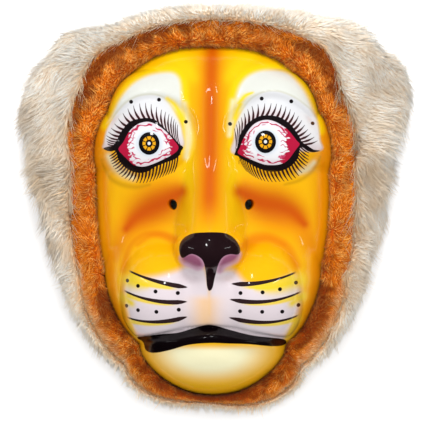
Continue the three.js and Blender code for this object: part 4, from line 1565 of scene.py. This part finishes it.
# %% Fur colours
def fur_tone_group():
    """A group that blends a root, a middle and a tip colour along each hair."""
    tree = bpy.data.node_groups.new("fur_tone", "ShaderNodeTree")
    for name in ("Root", "Middle", "Tip"):
        tree.interface.new_socket(name, in_out="INPUT", socket_type="NodeSocketColor")
    tree.interface.new_socket("Color", in_out="OUTPUT", socket_type="NodeSocketColor")
    given = tree.nodes.new("NodeGroupInput").outputs
    along = stored(tree, "along")
    tone = stored(tree, "tone")
    patch = noise(tree, 60, 2) + noise(tree, 170, 2) * 0.8 - 0.9
    # Painted shade: the root colour, darkest where the hair leaves the skin.
    colour = coat(tree, smooth(0.0, 0.5, along), given["Root"], given["Middle"])
    # Painted light: the tip colour, where lit runs high.
    lit = smooth(0.35, 1.25, along + (tone - 0.5) * 1.3 + patch * 1.6)
    colour = coat(tree, lit, colour, given["Tip"])
    # Painted shade in patches: the root colour again where the noise runs low.
    colour = coat(tree, (0.0 - patch).at_least(0.0).at_most(0.3) * 1.6, colour, given["Root"])
    out = tree.nodes.new("NodeGroupOutput")
    tree.links.new(colour, out.inputs["Color"])
    return tree


FUR_TONE = fur_tone_group()


def fur_tone(tree, root, middle, tip):
    node = tree.nodes.new("ShaderNodeGroup")
    node.node_tree = FUR_TONE
    for name, value in (("Root", root), ("Middle", middle), ("Tip", tip)):
        plug(tree, node.inputs[name], value)
    return node.outputs["Color"]


def soft_normal(tree, share):
    """The hair's own normal leant towards the skin's, so that a lock is lit as one soft form."""
    own = tree.nodes.new("ShaderNodeNewGeometry").outputs["Normal"]
    node = tree.nodes.new("ShaderNodeAttribute")
    node.attribute_name = "skin_way"
    skin_part = vector_maths(tree, "SCALE", node.outputs["Vector"], scale=share)
    own_part = vector_maths(tree, "SCALE", own, scale=1 - share)
    return vector_maths(tree, "NORMALIZE", vector_maths(tree, "ADD", skin_part, own_part))


cream_fur.use_nodes = True
cream_tree = cream_fur.node_tree
cream_colour = fur_tone(
    cream_tree, rgb(244, 214, 178), rgb(255, 243, 224), rgb(255, 253, 246)
)
# Painted shade: beige patches, most down the cream's left and right sides and a little under the chin.
beige_shade_patch = noise(cream_tree, 26, 2) + (stored(cream_tree, "shade") - 0.5) * 0.4
cream_colour = coat(cream_tree, smooth(0.3, 0.8, beige_shade_patch) * 0.6, cream_colour, rgb(204, 172, 130))
tan = fur_tone(cream_tree, rgb(236, 172, 112), rgb(254, 214, 164), rgb(255, 236, 204))
fade = stored(cream_tree, "fade") + (noise(cream_tree, 130, 2) - 0.5) * 0.9
cream_colour = coat(cream_tree, smooth(0.15, 0.85, fade), cream_colour, tan)
finish_with(
    cream_fur, cream_colour, 0.6, normal=soft_normal(cream_tree, 0.6),
    Specular_IOR_Level=0.3, Sheen_Weight=0.3,
)

orange_fur.use_nodes = True
orange_tree = orange_fur.node_tree
orange_colour = fur_tone(
    orange_tree, rgb(198, 84, 2), rgb(240, 134, 12), rgb(255, 192, 98)
)
cloud = smooth(0.45, 0.65, noise(orange_tree, 60, 2))
orange_colour = coat(orange_tree, cloud * 0.5, orange_colour, rgb(168, 68, 6))
# Painted shade: dark brown where the shade guide and its noise run high.
shaded = stored(orange_tree, "shade") + (noise(orange_tree, 110, 2) - 0.5) * 1.6
orange_colour = coat(
    orange_tree, smooth(0.2, 0.9, shaded) * 0.8, orange_colour, rgb(122, 44, 6)
)
tan = fur_tone(orange_tree, rgb(220, 140, 70), rgb(250, 196, 134), rgb(255, 230, 190))
fade = stored(orange_tree, "fade") + (noise(orange_tree, 130, 2) - 0.5) * 0.9
orange_colour = coat(orange_tree, smooth(0.25, 0.95, fade) * 0.85, orange_colour, tan)
finish_with(
    orange_fur, orange_colour, 0.7, normal=soft_normal(orange_tree, 0.5),
    Specular_IOR_Level=0.15, Sheen_Weight=0.1,
)
print("fur coloured")

# %% [markdown]
# The floor is a plain pale sheet under the mask. A wide panel overhead and one beyond the
# crown light the fur and the face softly. Lacquer would mirror such panels as a grey veil over
# the yellow, so glossy rays don't see them, nor the floor or the sky. They do see four small
# lamps: two thin strips at the sides, which draw long lines on the cheeks, a slim one above
# the crown, and a little window that puts a spark on the nose and in the eyes.

# %% Floor and lights
def add_floor():
    points = np.array([[-1.5, -1.5, 0], [1.5, -1.5, 0], [1.5, 1.5, 0], [-1.5, 1.5, 0]]) * 1.0
    white = bpy.data.materials.new("studio_floor")
    white.use_nodes = True
    tree = white.node_tree
    grain = noise(tree, 30, 2)
    tone = coat(tree, grain, rgb(250, 250, 250), rgb(246, 246, 247))
    finish_with(white, tone, 0.9)
    floor = new_piece("studio_floor", points, [(0, 1, 2, 3)], [white], smooth=False)
    floor.visible_glossy = False
    return floor


def add_lamp(name, place, target, size, power):
    lamp = bpy.data.lights.new(name, "AREA")
    lamp.shape = "RECTANGLE"
    lamp.size, lamp.size_y = size
    lamp.energy = power
    holder = bpy.data.objects.new(name, lamp)
    bpy.context.collection.objects.link(holder)
    holder.location = place
    way = np.array(target) - np.array(place)
    holder.rotation_euler = Vector(way).to_track_quat("-Z", "Y").to_euler()
    return holder


floor = add_floor()
centre = (FACE_CENTRE_X, FACE_CENTRE_Y, 0.05)
add_lamp("left_panel", (-1.35, 0.4, 0.5), centre, (0.04, 0.6), 0.6)
add_lamp("right_panel", (1.35, 0.4, 0.5), centre, (0.04, 0.6), 0.6)
add_lamp("crown_panel", (0.0, 1.1, 1.15), centre, (0.07, 0.3), 0.8)
add_lamp("window_panel", (-0.2, 0.7, 1.5), centre, (0.09, 0.13), 1.0)
fill = add_lamp("fill_panel", (0.2, 0.0, 1.9), centre, (1.4, 1.4), 17.5)
fill.visible_glossy = False
key = add_lamp("key_panel", (0.1, 1.5, 1.1), centre, (0.8, 0.5), 17.0)
key.visible_glossy = False
world = bpy.data.worlds.new("studio")
world.use_nodes = True
world.node_tree.nodes["Background"].inputs["Color"].default_value = (1.0, 1.0, 1.0, 1.0)
world.node_tree.nodes["Background"].inputs["Strength"].default_value = 0.84
world.cycles_visibility.glossy = False
bpy.context.scene.world = world
bpy.context.scene.view_settings.view_transform = "Standard"
print("lights placed")

# %% [markdown]
# Last, every piece rides on the root body, and the frame's solid that it stands for is hidden.

# %% Hand over
for piece, node, slot in [
    (face, "face_shell", "lacquered_paper"),
    (plush_skin, "orange_plush_band", "orange_plush"),
    (ruff_skin, "cream_fur_ruff", "cream_fur"),
]:
    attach(piece, "root")
    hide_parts(node)
for piece in ruff_piles:
    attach(piece, "root")
    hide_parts("cream_fur_ruff")
for piece in plush_piles:
    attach(piece, "root")
    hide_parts("orange_plush_band")
